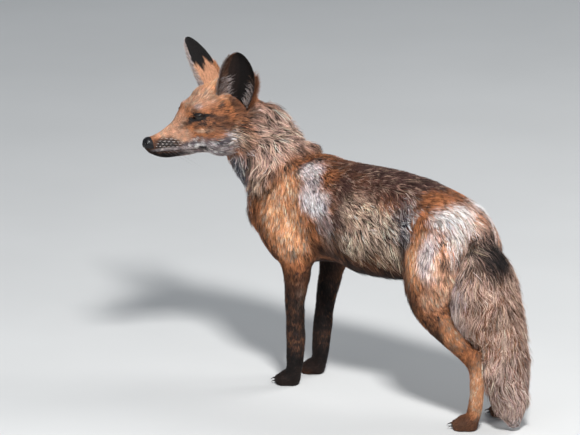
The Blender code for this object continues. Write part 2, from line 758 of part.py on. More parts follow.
def build_trunk(body):
    """Parts the neck from the trunk, then the trunk into chest, middle and rump."""
    tilt = Matrix.Rotation(NECK_CUT_TILT, 3, "X")
    tilted = tuple(tilt @ axis for axis in WORLD)
    neck_centre = NECK_CUT + tilted[2] * ROOMY / 2
    take("neck", body, "buff", neck_centre, (ROOMY, 2 * ROOMY, ROOMY), tilted)
    first, second = TRUNK_CUTS
    middle = (0.0, (first + second) / 2, ROOMY)
    take("rump", body, "saddle", (0.0, second + ROOMY / 2, ROOMY), (ROOMY, ROOMY, 2 * ROOMY))
    take("back_and_belly", body, "saddle", middle, (ROOMY, second - first, 2 * ROOMY))
    body.name = "chest"
    finish_piece(body, "rust")


def recentre():
    """Moves all pieces so that the origin is at the middle of the bottom of their box."""
    pieces = [item for item in bpy.data.objects if item.type == "MESH"]
    corners = np.array([vertex.co for item in pieces for vertex in item.data.vertices])
    middle = (corners.min(axis=0) + corners.max(axis=0)) / 2
    shift = Vector((-middle[0], -middle[1], -corners[:, 2].min()))
    for item in pieces:
        item.data.transform(Matrix.Translation(shift))
        item.data.update()


def main():
    clear_scene()
    body = whole_shape()
    head = part_head(body)
    build_head(head)
    build_tail(trimmed_tail(body))
    build_legs(body)
    build_trunk(body)
    recentre()


main()
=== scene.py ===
"""Looks of a red fox in late spring moult, standing with its head turned to its left.

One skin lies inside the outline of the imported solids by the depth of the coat, and locks of mesh
fur grow from it to that outline. Markings are patches of tone, shared by skin and coat.

Body places are in the stance frame: the origin is on the floor midway between the fore feet, +X
is the fox's left, +Y runs back to its tail and +Z up. Head places are (behind, sideways, up) from
the tip of the nose. The tables of marks and of the coat are in millimetres, the rest in metres.
"""

import math

import bmesh
import bpy
import numpy as np
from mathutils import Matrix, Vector
from mathutils.bvhtree import BVHTree
from mathutils.kdtree import KDTree


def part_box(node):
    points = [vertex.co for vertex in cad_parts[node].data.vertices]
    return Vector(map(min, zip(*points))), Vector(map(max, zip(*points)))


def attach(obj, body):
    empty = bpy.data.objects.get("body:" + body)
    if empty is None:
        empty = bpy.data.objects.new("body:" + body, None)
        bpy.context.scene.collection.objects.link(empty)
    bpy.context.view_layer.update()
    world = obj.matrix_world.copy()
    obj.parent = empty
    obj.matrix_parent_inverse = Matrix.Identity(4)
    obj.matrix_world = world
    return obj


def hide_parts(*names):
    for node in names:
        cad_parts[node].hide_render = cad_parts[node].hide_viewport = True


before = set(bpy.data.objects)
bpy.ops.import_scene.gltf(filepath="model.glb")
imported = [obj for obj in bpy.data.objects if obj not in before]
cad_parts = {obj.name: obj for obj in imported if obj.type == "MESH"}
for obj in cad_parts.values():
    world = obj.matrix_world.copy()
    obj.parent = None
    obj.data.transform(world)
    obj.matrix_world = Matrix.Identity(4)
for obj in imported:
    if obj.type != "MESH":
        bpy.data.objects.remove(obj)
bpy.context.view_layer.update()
MM = 0.001


# ---------------------------------------------------------------- arithmetic
def ramp(values, start, over):
    """0 up to start, 1 from start + over on; with a negative over it falls instead."""
    return np.clip((values - start) / over, 0, 1)


def eased(share):
    return share * share * (3 - 2 * share)


def unit(vectors):
    return vectors / (np.linalg.norm(vectors, axis=-1, keepdims=True) + 1e-12)


def flat_to(vectors, normals):
    return unit(vectors - normals * (vectors * normals).sum(axis=1, keepdims=True))


def ripple(points, scale, seed):
    """Smooth random values from -1 to 1: a hashed number at each lattice corner, blended."""
    spot = points / scale + seed * 13.7
    base = np.floor(spot).astype(np.int64)
    part = eased(spot - base)
    total = np.zeros(len(points))
    for corner in range(8):
        step = np.array((corner & 1, corner >> 1 & 1, corner >> 2 & 1))
        cell = base + step
        mixed = cell[:, 0] * 73856093 ^ cell[:, 1] * 19349663 ^ cell[:, 2] * 83492791 ^ seed * 9176
        mixed = (mixed ^ mixed >> 13) * 1274126177 & 0x7FFFFFFF
        value = (mixed >> 8 & 0xFFFF) / 32767.5 - 1
        total += value * np.prod(np.where(step, part, 1 - part), axis=1)
    return total


def ripples(points, waves):
    """Sum of ripples, each given as strength, scale and seed."""
    return sum(strength * ripple(points, scale, seed) for strength, scale, seed in waves)


def drifted(points, amount, seed):
    """Places shifted by smooth noise of two sizes, so that patches get ragged edges."""
    moved = points.copy()
    for axis in range(3):
        waves = ((0.8, amount * 4.0, seed + axis), (0.4, amount * 1.3, seed + 5 + axis))
        moved[:, axis] += amount * ripples(points, waves)
    return moved


# ---------------------------------------------------------------- frames
FORE_PAW_BACK = 0.0125            # rear edge of a fore paw, behind the stance origin


def stance_origin():
    left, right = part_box("forepaw_left"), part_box("forepaw_right")
    middle = (left[0].x + left[1].x + right[0].x + right[1].x) / 4
    return np.array((middle, left[1].y - FORE_PAW_BACK, 0.0))


STANCE = stance_origin()
NOSE_TIP = np.array((0.1966, -0.1759, 0.3976))
HEAD_TURN = math.radians(72.0)
FORWARD = np.array((math.sin(HEAD_TURN), -math.cos(HEAD_TURN), 0.0))
LEFT = np.array((math.cos(HEAD_TURN), math.sin(HEAD_TURN), 0.0))
UP = np.array((0.0, 0.0, 1.0))
HEAD_AXES = np.array((-FORWARD, LEFT, UP))


def body_place(place):
    return np.asarray(place, float) + STANCE


def head_place(place):
    return np.asarray(place, float) @ HEAD_AXES + NOSE_TIP + STANCE


def head_direction(direction):
    return np.asarray(direction, float) @ HEAD_AXES


def on_head(points):
    """(behind, sideways, up) of places in the row frame."""
    return (points - NOSE_TIP - STANCE) @ HEAD_AXES.T


# ---------------------------------------------------------------- markings
# Tones of the hair, each with the tone of the odd hairs among it and their share.
TONES = {
    "rust": ((0.40, 0.150, 0.062), "umber", 0.22),
    "bright": ((0.61, 0.280, 0.138), "cream", 0.28),
    "salmon": ((0.62, 0.340, 0.220), "cream", 0.22),
    "brown": ((0.17, 0.074, 0.040), "umber", 0.40),
    "saddle": ((0.070, 0.036, 0.030), "tan", 0.18),
    "umber": ((0.031, 0.020, 0.017), "brown", 0.28),
    "black": ((0.010, 0.008, 0.008), "umber", 0.20),
    "tan": ((0.35, 0.225, 0.165), "umber", 0.36),
    "buff": ((0.54, 0.350, 0.275), "umber", 0.30),
    "fawn": ((0.43, 0.295, 0.235), "brown", 0.36),
    "sand": ((0.70, 0.490, 0.370), "umber", 0.36),
    "grey": ((0.22, 0.195, 0.205), "white", 0.34),
    "slate": ((0.050, 0.054, 0.068), "white", 0.24),
    "pale": ((0.56, 0.470, 0.460), "slate", 0.26),
    "white": ((0.84, 0.740, 0.700), "tan", 0.16),
    "cream": ((0.60, 0.450, 0.330), "umber", 0.38),
    "lilac": ((0.80, 0.700, 0.700), "grey", 0.12),
}

# Patches, painted in this order: place, radii, tone, strength. Both sides of the body are alike.
BODY_MARKS = (
    ((0, 0, 200), (60, 130, 24), "brown", 0.8),  # breast
    ((0, 165, 200), (115, 130, 60), "umber", 1),  # belly: painted shade on its underside
    ((0, 165, 196), (115, 115, 40), "black", 1),
    ((0, 10, 380), (50, 50, 20), "brown", 0.55),  # withers
    ((0, 80, 378), (48, 45, 24), "saddle", 0.85),  # saddle
    ((0, 150, 374), (64, 70, 32), "saddle", 1),
    ((0, 215, 368), (66, 60, 34), "saddle", 1),
    ((0, 275, 358), (28, 40, 14), "saddle", 0.45),
    ((46, 94, 345), (30, 20, 24), "saddle", 0.95),  # band behind the shoulder
    ((68, 108, 312), (26, 20, 46), "saddle", 1),
    ((72, 102, 262), (24, 24, 34), "umber", 0.95),
    ((72, 150, 288), (24, 50, 14), "umber", 0.55),
    ((62, 142, 322), (32, 34, 28), "sand", 0.8),  # flank
    ((64, 178, 300), (32, 34, 34), "sand", 1),
    ((62, 156, 278), (32, 44, 20), "sand", 0.9),
    ((56, 150, 346), (32, 60, 14), "saddle", 0.85),
    ((56, 222, 326), (34, 26, 24), "slate", 0.75),
    ((64, 228, 298), (34, 24, 36), "slate", 0.95),
    ((62, 222, 272), (30, 20, 22), "umber", 0.8),
    ((70, 136, 264), (30, 30, 14), "cream", 0.75),  # long belly hair
    ((66, 186, 266), (30, 36, 14), "cream", 0.85),
    ((59, 214, 252), (30, 22, 10), "cream", 0.7),
    ((42, 28, 359), (28, 22, 14), "lilac", 0.85),  # shoulder
    ((56, 40, 336), (26, 18, 20), "lilac", 0.8),
    ((66, 58, 318), (24, 24, 22), "lilac", 0.95),
    ((70, 80, 292), (24, 14, 18), "grey", 0.7),
    ((71, 84, 262), (24, 14, 20), "tan", 0.6),
    ((66, -6, 310), (40, 36, 54), "bright", 1),
    ((76, 18, 262), (34, 32, 36), "bright", 0.9),  # upper arm
    ((72, 64, 236), (30, 18, 24), "umber", 0.7),  # behind the elbow
    ((70, 82, 236), (30, 26, 26), "umber", 0.8),
    ((64, 104, 230), (34, 30, 22), "umber", 0.8),
    ((58, -40, 250), (24, 12, 30), "brown", 0.6),
    ((54, -20, 222), (30, 14, 16), "umber", 0.75),
    ((30, 262, 350), (24, 22, 12), "rust", 0.95),  # hip
    ((62, 256, 318), (26, 14, 30), "rust", 0.95),
    ((0, 292, 352), (22, 22, 12), "brown", 0.7),
    ((78, 266, 270), (30, 22, 44), "bright", 0.8),  # thigh
    ((78, 252, 228), (30, 14, 34), "brown", 0.55),
    ((76, 292, 276), (26, 15, 44), "lilac", 0.75),
    ((72, 316, 258), (24, 15, 36), "salmon", 0.8),
    ((66, 328, 226), (22, 18, 36), "salmon", 0.85),
    ((74, 300, 218), (24, 18, 34), "salmon", 0.55),
    ((50, 276, 326), (24, 12, 14), "pale", 0.75),  # rump
    ((10, 350, 306), (60, 30, 46), "fawn", 0.95),
    ((40, 298, 330), (36, 22, 20), "white", 1),
    ((42, 318, 318), (28, 14, 22), "white", 0.9),
    ((36, 338, 308), (26, 14, 24), "buff", 0.8),
    ((52, 332, 290), (16, 12, 30), "white", 0.8),
    ((62, 326, 276), (16, 10, 18), "brown", 0.9),
    ((22, 340, 326), (18, 12, 12), "rust", 0.8),  # root of the tail
    ((7, 358, 306), (30, 26, 30), "black", 1),
    ((60, 296, 160), (24, 18, 30), "brown", 0.55),
    ((54, 302, 138), (22, 16, 22), "umber", 0.8),  # front of the shank
    ((62, 330, 160), (18, 20, 34), "bright", 0.55),
    ((52, 384, 124), (20, 10, 10), "umber", 0.55),  # hock
    ((50, 362, 112), (22, 8, 12), "umber", 0.5),
    ((50, 380, 70), (24, 22, 44), "bright", 0.9),
    ((47, 345, 10), (30, 40, 18), "umber", 0.75),  # hind paw
    ((48, 0, 104), (38, 42, 100), "umber", 1),  # stocking
    ((50, -10, 16), (44, 70, 46), "black", 0.95),
    ((16, 10, 130), (20, 60, 75), "black", 0.9),  # inner side and between the fore legs: the dark stocking deepened with painted shade
    ((8, 30, 196), (38, 50, 34), "black", 0.85),
    ((58, 26, 130), (10, 10, 50), "tan", 0.6),  # rear edge of the fore leg
)
# The neck bends with the head, so these patches are not mirrored.
NECK_MARKS = (
    ((14, -60, 400), (92, 40, 58), "buff", 1),  # ruff
    ((64, -95, 444), (15, 17, 13), "umber", 0.9),  # below the ear
    ((55, -82, 430), (11, 13, 18), "umber", 0.75),
    ((62, -56, 362), (44, 20, 40), "buff", 0.9),
    ((66, -60, 334), (40, 14, 26), "cream", 0.6),
    ((66, -35, 322), (18, 7, 22), "umber", 0.9),  # painted shadow below its edge
    ((62, -27, 344), (18, 7, 16), "umber", 1),
    ((48, -13, 363), (16, 7, 12), "umber", 1),
    ((30, -3, 373), (18, 6, 12), "umber", 1),
    ((6, 6, 378), (18, 6, 10), "umber", 0.9),
    ((74, -86, 392), (16, 16, 30), "brown", 0.6),  # behind the cheek
    ((-52, -40, 350), (30, 40, 50), "tan", 0.7),
    ((72, -100, 350), (46, 20, 36), "slate", 1),  # throat, in painted shade
    ((40, -110, 308), (44, 28, 50), "slate", 1),
    ((10, -110, 262), (40, 26, 36), "slate", 0.85),  # chest, in painted shade
    ((58, -86, 306), (14, 10, 40), "grey", 0.6),
)
TAIL_MARKS = (
    ((0, 380, 240), (70, 50, 60), "tan", 0.3),
    ((40, 340, 300), (22, 22, 24), "cream", 0.6),
    ((54, 330, 262), (18, 18, 50), "pale", 0.8),  # streak beside the thigh
    ((14, 354, 312), (22, 16, 16), "rust", 0.85),
    ((20, 370, 286), (25, 22, 36), "brown", 0.8),  # about the gland
    ((7, 368, 288), (32, 34, 40), "black", 1),
    ((46, 334, 190), (20, 20, 40), "grey", 0.5),
    ((0, 400, 60), (60, 60, 70), "pale", 0.22),
    ((0, 420, 14), (30, 30, 22), "pale", 0.85),  # tip
)
# Places on the head; both sides are alike.
HEAD_MARKS = (
    ((52, 0, 20), (46, 18, 20), "salmon", 0.8),  # muzzle
    ((100, 0, 64), (34, 32, 26), "salmon", 0.85),  # forehead
    ((135, 0, 80), (36, 50, 28), "bright", 0.85),  # crown
    ((56, 18, 8), (24, 12, 10), "salmon", 0.8),
    ((56, 22, -1), (20, 14, 5), "salmon", 0.6),
    ((72, 26, -7), (24, 14, 7.5), "slate", 0.9),  # upper lip: its own grey deepened to slate with painted shade where it faces down
    ((10, 0, -13), (16, 16, 7), "black", 0.9),  # below the nose
    ((32, 14, -4.5), (26, 12, 10.5), "umber", 1),  # whisker pad
    ((32, 16, -4), (20, 12, 8), "black", 0.6),
    ((30, 14, -11.5), (24, 12, 3), "grey", 0.85),
    ((56, 20, -12), (30, 12, 3.4), "pale", 0.75),
    ((84, 32, 1), (22, 14, 6), "slate", 0.55),
    ((100, 42, -10), (30, 22, 12), "grey", 0.9),  # lower cheek: grey hair with painted shade where it faces down
    ((98, 32, -26), (36, 26, 12), "grey", 0.85),
    ((80, 0, -36), (50, 22, 10), "white", 0.9),  # under the jaw
    # Painted shadow under the jaw.
    ((130, 36, -42), (22, 30, 12), "slate", 0.9),
    ((66, 24, -21), (26, 14, 6.5), "grey", 0.85),
    ((26, 10, -24), (34, 18, 9.5), "black", 1),  # chin and lower lip
    ((50, 18, -19), (18, 10, 4), "black", 0.85),
    ((84, 34, -12), (10, 9, 3.6), "black", 0.9),  # corner of the mouth
    ((74, 24, 31.5), (9, 10, 2.8), "black", 1),  # corners of the eye
    ((99, 36, 36.5), (7, 10, 2.6), "black", 0.9),
    ((64, 19, 26), (10, 8, 4), "umber", 0.85),  # tear streak
    ((57, 18, 20), (8, 7, 3.4), "brown", 0.6),
    ((90, 36, 25), (20, 12, 5), "brown", 0.65),  # below the eye
    ((88, 36, 16), (18, 12, 3.4), "cream", 0.55),
    ((92, 38, 9), (18, 12, 4), "rust", 0.8),
    ((112, 44, 33), (16, 14, 4.5), "umber", 0.85),  # behind the eye
    ((120, 48, 20), (20, 14, 8), "umber", 0.6),
    ((84, 20, 50), (8, 7, 4), "pale", 0.55),  # spot over the eye
    ((104, 46, 18), (22, 14, 9), "brown", 0.7),  # cheek
    ((124, 54, 4), (16, 18, 9), "grey", 0.85),
    ((112, 50, -3), (16, 18, 6), "slate", 0.75),
    ((140, 56, 4), (14, 22, 16), "cream", 0.8),
    ((152, 56, -14), (14, 22, 26), "tan", 0.8),
    ((152, 46, 40), (16, 18, 18), "brown", 0.85),  # below the ear
    ((134, 30, 64), (10, 12, 8), "brown", 0.7),
    ((148, 31, 51), (14, 18, 11), "umber", 0.85),
    ((160, 37, 38), (10, 16, 16), "umber", 0.75),
    ((168, 0, 70), (20, 40, 24), "tan", 0.7),  # nape
)
MARK_EDGE = 0.36                   # share of a patch's radius over which it fades
MARK_DRIFT = 0.0070                # how far the edges of the body's patches wander
FACE_DRIFT = 0.0014
MOUTH = (-0.0140, -0.0150, 0.090)  # height at the front and the corner, distance of the corner
MOUTH_TOP = -0.009                 # the mouth line is nowhere higher
MOUTH_WIDTH = 0.0011
MOUTH_STRENGTH = 0.85
HEAD_REACH, HEAD_EDGE = 0.160, 0.016       # how far behind the nose the head ends, and over what
HEAD_SLOPE = 0.35                  # how much sooner it ends for each measure below the nose
HEAD_FLOOR, FLOOR_EDGE = -0.052, 0.012     # how high above the nose it starts, and over what
HEAD_HALF = 0.11
# Whisker pad: its middle and radii, each behind and up, the tilt of its rows and its rear end.
PAD, PAD_REACH = (0.034, -0.004), (0.021, 0.0098)
PAD_TILT, PAD_REAR = 0.10, 0.060
DASH_ROW, DASH_PITCH, DASH_SHIFT = 0.0037, 0.0068, 0.37
DASH_HEIGHT, DASH_LENGTH = 0.28, 0.50      # shares of a row and of the pitch
DASH_STRENGTH = 0.55


def layer(tone):
    """Seven columns: a tone, the tone of its odd hairs and their share."""
    own, odd, share = TONES[tone]
    return np.array((*own, *TONES[odd][0], share))


def paint(layers, base, where, marks, mirrored=None):
    """Lays patches over layers; mirrored is the axis whose two sides are alike."""
    places = where.copy()
    if mirrored is not None:
        places[:, mirrored] = abs(places[:, mirrored])
    for place, radii, tone, strength in marks:
        reach = np.linalg.norm((places - np.array(place) * MM) / (np.array(radii) * MM), axis=1)
        weight = strength * eased(ramp(reach, 1 + MARK_EDGE, -2 * MARK_EDGE)) * base
        layers += (layer(tone) - layers) * weight[:, None]
    return layers


def mouth_share(points):
    """1 on the closed mouth line, 0 away from it."""
    behind, _, up = on_head(points).T
    front, corner, reach = MOUTH
    line = front + (corner - front) * behind / reach
    return np.exp(-((up - line) / MOUTH_WIDTH) ** 2) * (behind < reach) * (up < MOUTH_TOP)


def dashes_on_pad(face):
    """The rows of short white dashes on the whisker pads, from 0 to 1."""
    behind, up = face[:, 0] - PAD[0], face[:, 2]
    row_place = (up + PAD_TILT * behind) / DASH_ROW
    row = np.floor(row_place)
    along = face[:, 0] / DASH_PITCH + DASH_SHIFT * row
    near = np.hypot(behind / PAD_REACH[0], (up - PAD[1]) / PAD_REACH[1]) < 1
    return (near * (row_place - row < DASH_HEIGHT) * (along - np.floor(along) < DASH_LENGTH)
            * (face[:, 0] < PAD_REAR) * 1.0)


def head_share(points):
    """1 on the head, 0 on the body, with a soft border behind the ears."""
    behind, sideways, up = on_head(points).T
    end = HEAD_REACH - HEAD_SLOPE * np.clip(-up, 0, 1)
    share = ramp(behind, end, -HEAD_EDGE) * ramp(up, HEAD_FLOOR, FLOOR_EDGE)
    return share * (abs(sideways) < HEAD_HALF)


def markings(points, tail=False, scatter=0.0):
    """Layers at each place; scatter mixes neighbouring patches' hairs."""
    mixed = points + scatter
    stance = drifted(mixed - STANCE, MARK_DRIFT, 3)
    everywhere = np.ones(len(points))
    layers = np.tile(layer("fawn" if tail else "rust"), (len(points), 1))
    if tail:
        return paint(layers, everywhere, stance, TAIL_MARKS)
    paint(layers, everywhere, stance, BODY_MARKS, 0)
    paint(layers, everywhere, stance, NECK_MARKS)
    face = on_head(drifted(mixed, FACE_DRIFT, 11))
    share = head_share(points)
    layers += (layer("rust") - layers) * share[:, None]
    paint(layers, share, face, HEAD_MARKS, 1)
    dashes = DASH_STRENGTH * dashes_on_pad(on_head(points))
    layers += (layer("white") - layers) * dashes[:, None]
    return layers + (layer("black") - layers) * (MOUTH_STRENGTH * mouth_share(points))[:, None]


# ---------------------------------------------------------------- lie of the coat
# Place, lie, length of the hair, its height over the skin, how deep the skin lies below the packed
# outline, width of a lock, then how ragged it is from 0 to 1.
HEAD_COAT = (
    ((12, 0, 9), (1, 0, 0.1), 2.2, 0.5, 0.5, 0.5, 0.05),
    ((26, 0, 13), (1, 0, 0.3), 3.2, 1.3, 0.2, 0.55, 0.08),
    ((45, 0, 18), (1, 0, 0.3), 4.2, 1.9, 0.1, 0.55, 0.1),  # muzzle
    ((28, 15, -4), (1, 0.3, -0.1), 3, 0.8, 0.8, 0.55, 0.08),
    ((52, 21, 0), (1, 0.3, -0.1), 4, 1.1, 1.1, 0.55, 0.1),
    ((60, 24, -14), (1, 0.3, -0.3), 5, 1.3, 1.3, 0.55, 0.15),  # upper lip
    ((28, 6, -24), (1, 0.2, -0.1), 4, 1.1, 1.1, 0.55, 0.15),  # chin
    ((72, 22, -28), (1, 0.3, -0.1), 7, 2, 2, 0.65, 0.2),  # lower jaw
    ((75, 0, 38), (1, 0, 0.6), 6, 2.6, 0.3, 0.6, 0.15),  # stop
    ((70, 18, 26), (1, 0.2, -0.2), 2.8, 0.7, 0.7, 0.5, 0.05),  # before the eye
    ((88, 24, 50), (1, 0.5, 0.4), 5, 2, 1, 0.6, 0.1),  # brow
    ((82, 33, 22), (1, 0.3, -0.4), 4, 1.2, 1.2, 0.55, 0.1),  # below the eye
    ((106, 42, 38), (1, 0.4, 0), 6, 2, 1.8, 0.6, 0.15),
    ((105, 0, 66), (1, 0, 0.6), 12, 8, 0.4, 0.7, 0.35),  # forehead
    ((140, 0, 80), (1, 0, 0.1), 16, 11, 1, 0.8, 0.4),  # crown
    ((118, 34, 60), (0.9, 0.3, 0.5), 10, 4, 2.4, 0.7, 0.3),
    ((134, 28, 67), (0.8, 0.3, 0.5), 8, 2.6, 6, 0.7, 0.4),  # before the ear
    ((146, 34, 62), (0.8, 0.4, 0.4), 8, 2.4, 12, 0.7, 0.4),
    ((157, 41, 52), (0.9, 0.4, 0.1), 9, 2.6, 14, 0.75, 0.45),
    ((115, 49, 10), (1, 0.4, -0.1), 11, 4, 3.5, 0.75, 0.35),  # cheek
    ((140, 56, 0), (1, 0.5, -0.5), 24, 8.5, 6, 0.9, 0.65),
    ((118, 42, -28), (1, 0.3, -0.4), 17, 5.5, 5, 0.85, 0.5),
    ((100, 0, -36), (1, 0, -0.2), 13, 4.5, 4.5, 0.8, 0.3),  # below the jaw
    ((165, 0, 70), (1, 0, -0.5), 22, 9, 7, 0.95, 0.5),  # nape
    ((160, 50, 34), (1, 0.3, -0.6), 22, 7.5, 6, 0.9, 0.5),
)
BODY_COAT = (
    ((13, -61, 436), (-0.35, 0.8, -0.4), 33, 14, 14, 1.1, 0.95),  # ruff
    ((22, -44, 418), (-0.2, 0.8, -0.5), 32, 11, 22, 1.1, 0.95),
    ((60, -49, 368), (0.2, 0.2, -0.95), 32, 13, 11, 1.1, 0.85),
    ((64, -58, 338), (0.2, -0.1, -1), 30, 11, 9, 1.1, 0.8),
    ((56, -36, 366), (0.15, 0.3, -0.95), 30, 14, 10, 1.1, 0.85),
    ((0, -26, 396), (-0.1, 1, -0.5), 17, 7, 26, 1.05, 0.85),
    ((50, -14, 364), (0.1, 0.8, -0.8), 12, 3.5, 6, 0.9, 0.25),  # below the ruff
    ((14, 0, 384), (0, 1, -0.2), 14, 5, 18, 0.9, 0.3),
    ((66, -90, 348), (0, 0.1, -1), 22, 8, 3.5, 1, 0.65),  # throat
    ((36, -98, 296), (0, 0.15, -1), 26, 8.5, 5, 1.05, 0.65),
    ((0, -104, 262), (0, 0.35, -1), 22, 7, 7, 1.05, 0.45),  # chest
    ((0, 26, 376), (0, 1, -0.1), 14, 4.5, 5, 0.95, 0.2),  # withers
    ((43, 25, 356), (0.1, 0.8, -0.5), 12, 4, 4.5, 0.85, 0.2),
    ((62, -34, 318), (0.05, 0.45, -1), 12, 4, 4.5, 0.85, 0.25),  # shoulder
    ((66, 30, 310), (0, 0.55, -0.9), 12, 4, 4.5, 0.85, 0.25),
    ((73, 10, 263), (0, 0.15, -1), 12, 4, 4, 0.85, 0.25),  # upper arm
    ((71, 40, 222), (0, 0.45, -1), 15, 4, 5, 0.85, 0.45),  # elbow
    ((52, 52, 196), (0, 0.45, -1), 12, 4, 13, 0.8, 0.45),
    ((48, 42, 172), (0, 0.3, -1), 8.5, 3, 8, 0.75, 0.35),
    ((72, 88, 280), (0, 0.7, -0.75), 19, 6, 5.5, 0.95, 0.55),
    ((0, 87, 368), (0, 1, -0.03), 15, 5.5, 5, 0.9, 0.3),  # back
    ((0, 158, 370), (0, 1, 0), 16, 6, 5, 0.9, 0.4),
    ((0, 244, 364), (0, 1, -0.05), 18, 6.5, 5.5, 0.9, 0.4),
    ((61, 135, 328), (0.1, 0.85, -0.4), 18, 6.5, 6, 0.95, 0.6),  # flank
    ((56, 215, 325), (0, 0.75, -0.6), 25, 8.5, 7.5, 1, 0.8),
    ((66, 150, 262), (0, 0.6, -0.75), 27, 8.5, 7.5, 1.05, 0.75),
    ((56, 215, 252), (0, 0.6, -0.8), 33, 9, 8.5, 1.1, 0.8),
    ((30, 144, 202), (0, 0.75, -0.45), 26, 8, 6, 1, 0.6),  # belly
    ((20, 225, 210), (0, 0.8, -0.4), 28, 9, 7, 1, 0.65),
    ((0, -30, 200), (0, 0.8, -0.4), 17, 5, 5, 0.95, 0.35),
    ((18, 268, 356), (0, 1, -0.25), 17, 5.5, 5.5, 0.9, 0.4),  # hip
    ((37, 305, 331), (0.05, 0.75, -0.7), 24, 8, 7, 1, 0.65),  # rump
    ((36, 331, 300), (0, 0.4, -0.95), 26, 8, 7.5, 1, 0.6),
    ((20, 346, 318), (0, 0.7, -0.8), 30, 8, 8, 1, 0.6),
    ((70, 275, 300), (0, 0.5, -0.9), 16, 5, 5, 0.9, 0.45),  # thigh
    ((76, 262, 262), (0, 0.1, -1), 14, 4.5, 4.5, 0.85, 0.3),
    ((68, 325, 246), (0, 0.25, -1), 22, 6.5, 6, 0.95, 0.5),
    ((79, 294, 219), (0, 0.25, -1), 12, 4, 4, 0.85, 0.25),
    ((20, 295, 220), (0, 0.2, -1), 14, 4.5, 4.5, 0.9, 0.25),
    ((66, 313, 172), (0, 0.5, -0.9), 7.5, 2.8, 3, 0.7, 0.15),  # shank
    ((60, 345, 138), (0, 0.7, -0.75), 6.5, 2.3, 2.3, 0.65, 0.15),
    ((52, 380, 120), (0, 0.1, -1), 6, 2, 2, 0.6, 0.15),  # hock
    ((50, 375, 85), (0, 0, -1), 5, 1.8, 1.8, 0.6, 0.12),
    ((50, 370, 45), (0, -0.15, -1), 4.5, 1.6, 1.6, 0.6, 0.12),
    ((47, 340, 16), (0, -1, -0.3), 3.6, 1.2, 1.2, 0.55, 0.1),  # hind paw
    ((60, 15, 200), (0, 0.15, -1), 7.5, 3, 3, 0.75, 0.25),  # fore leg
    ((55, 5, 147), (0, 0.08, -1), 6, 2.2, 2.2, 0.65, 0.18),
    ((45, 30, 146), (0, 0.3, -1), 7.5, 2.6, 7, 0.65, 0.35),
    ((41, 26, 108), (0, 0.2, -1), 6, 2.2, 4, 0.65, 0.3),
    ((40, 6, 70), (0, 0, -1), 4.6, 1.7, 1.7, 0.6, 0.12),
    ((37, -20, 16), (0, -1, -0.25), 3.6, 1.2, 1.2, 0.55, 0.1),  # fore paw
)
TAIL_COAT = (
    ((0, 329, 331), (0, 0.8, -0.6), 24, 6, 11, 1.1, 0.45),
    ((0, 352, 314), (0, 0.7, -0.8), 28, 8, 11, 1.1, 0.5),
    ((0, 378, 280), (0, 0.4, -1), 28, 11, 11, 1.15, 0.55),
    ((45, 340, 225), (0.05, 0.15, -1), 32, 14, 6, 1.15, 0.65),
    ((0, 415, 200), (0, 0.3, -1), 34, 16, 15, 1.25, 0.6),
    ((40, 400, 150), (0.05, 0.2, -1), 34, 15, 14, 1.25, 0.6),
    ((0, 345, 130), (0, 0.2, -1), 30, 15, 13, 1.25, 0.55),
    ((30, 415, 80), (0, 0.15, -1), 32, 11, 10, 1.2, 0.6),
    ((0, 420, 30), (0, 0.05, -1), 24, 6, 6, 1.1, 0.5),
)
LIE, LENGTH, HEIGHT, SUNK, WIDTH, RAGGED = slice(0, 3), 3, 4, 5, 6, 7      # columns of coat_at
STATION_BLUR = 0.012               # distance within which stations blend evenly
STATION_POWER = 3.0
CHUNK = 20000                      # places blended at a time


def stations(table, to_place, to_direction, mirrored):
    """Rows of place, lie and five sizes for a table, with the far side's added by mirroring."""
    rows = []
    for place, lie, *sizes, ragged in table:
        for side in (1, -1):
            if side < 0 and place[mirrored] == 0:
                continue
            flip = np.ones(3)
            flip[mirrored] = side
            direction = to_direction(np.array(lie, float) * flip)
            direction = direction / np.linalg.norm(direction)
            spot = to_place(np.array(place) * flip * MM)
            rows.append((*spot, *direction, *(size * MM for size in sizes), ragged))
    return np.array(rows)


WHOLE_COAT = np.vstack((stations(HEAD_COAT, head_place, head_direction, 1),
                        stations(BODY_COAT, body_place, np.array, 0)))
TAIL_ROWS = stations(TAIL_COAT, body_place, np.array, 0)


def coat_at(points, rows):
    """Lie and sizes of the coat at each place, blended from the nearest stations."""
    blended = np.zeros((len(points), rows.shape[1] - 3))
    for start in range(0, len(points), CHUNK):
        part = points[start:start + CHUNK]
        gap = ((part[:, None, :] - rows[None, :, :3]) ** 2).sum(axis=2) + STATION_BLUR ** 2
        weight = gap ** -STATION_POWER
        weight /= weight.sum(axis=1, keepdims=True)
        blended[start:start + CHUNK] = weight @ rows[:, 3:]
    return blended


# ---------------------------------------------------------------- mesh helpers
def add_object(name, mesh):
    item = bpy.data.objects.new(name, mesh)
    bpy.context.scene.collection.objects.link(item)
    return item


def mesh_of(name, points, faces):
    mesh = bpy.data.meshes.new(name)
    mesh.from_pydata(np.asarray(points).tolist(), [], faces)
    return mesh


def grid_faces(rows, columns, wrap, start=0):
    """Quads over rows of points, numbered from start; wrap closes each row into a ring."""
    faces = []
    for row in range(rows - 1):
        low = start + row * columns
        high = low + columns
        for column in range(columns if wrap else columns - 1):
            after = (column + 1) % columns
            faces.append((low + column, low + after, high + after, high + column))
    return faces


def settle(item):
    """Replaces an object's mesh by what its modifiers make of it."""
    graph = bpy.context.evaluated_depsgraph_get()
    made = bpy.data.meshes.new_from_object(item.evaluated_get(graph))
    item.modifiers.clear()
    old = item.data
    item.data = made
    bpy.data.meshes.remove(old)


def soften(item, iterations):
    step = item.modifiers.new("soften", "SMOOTH")
    step.factor = 0.5
    step.iterations = iterations
    settle(item)


def gathered(elements, what, kind=float):
    """Three numbers of each element, as rows."""
    values = np.zeros(len(elements) * 3, dtype=kind)
    elements.foreach_get(what, values)
    return values.reshape(-1, 3)


def vertex_places(mesh):
    return gathered(mesh.vertices, "co")


def vertex_normals(mesh):
    return gathered(mesh.vertex_normals, "vector")


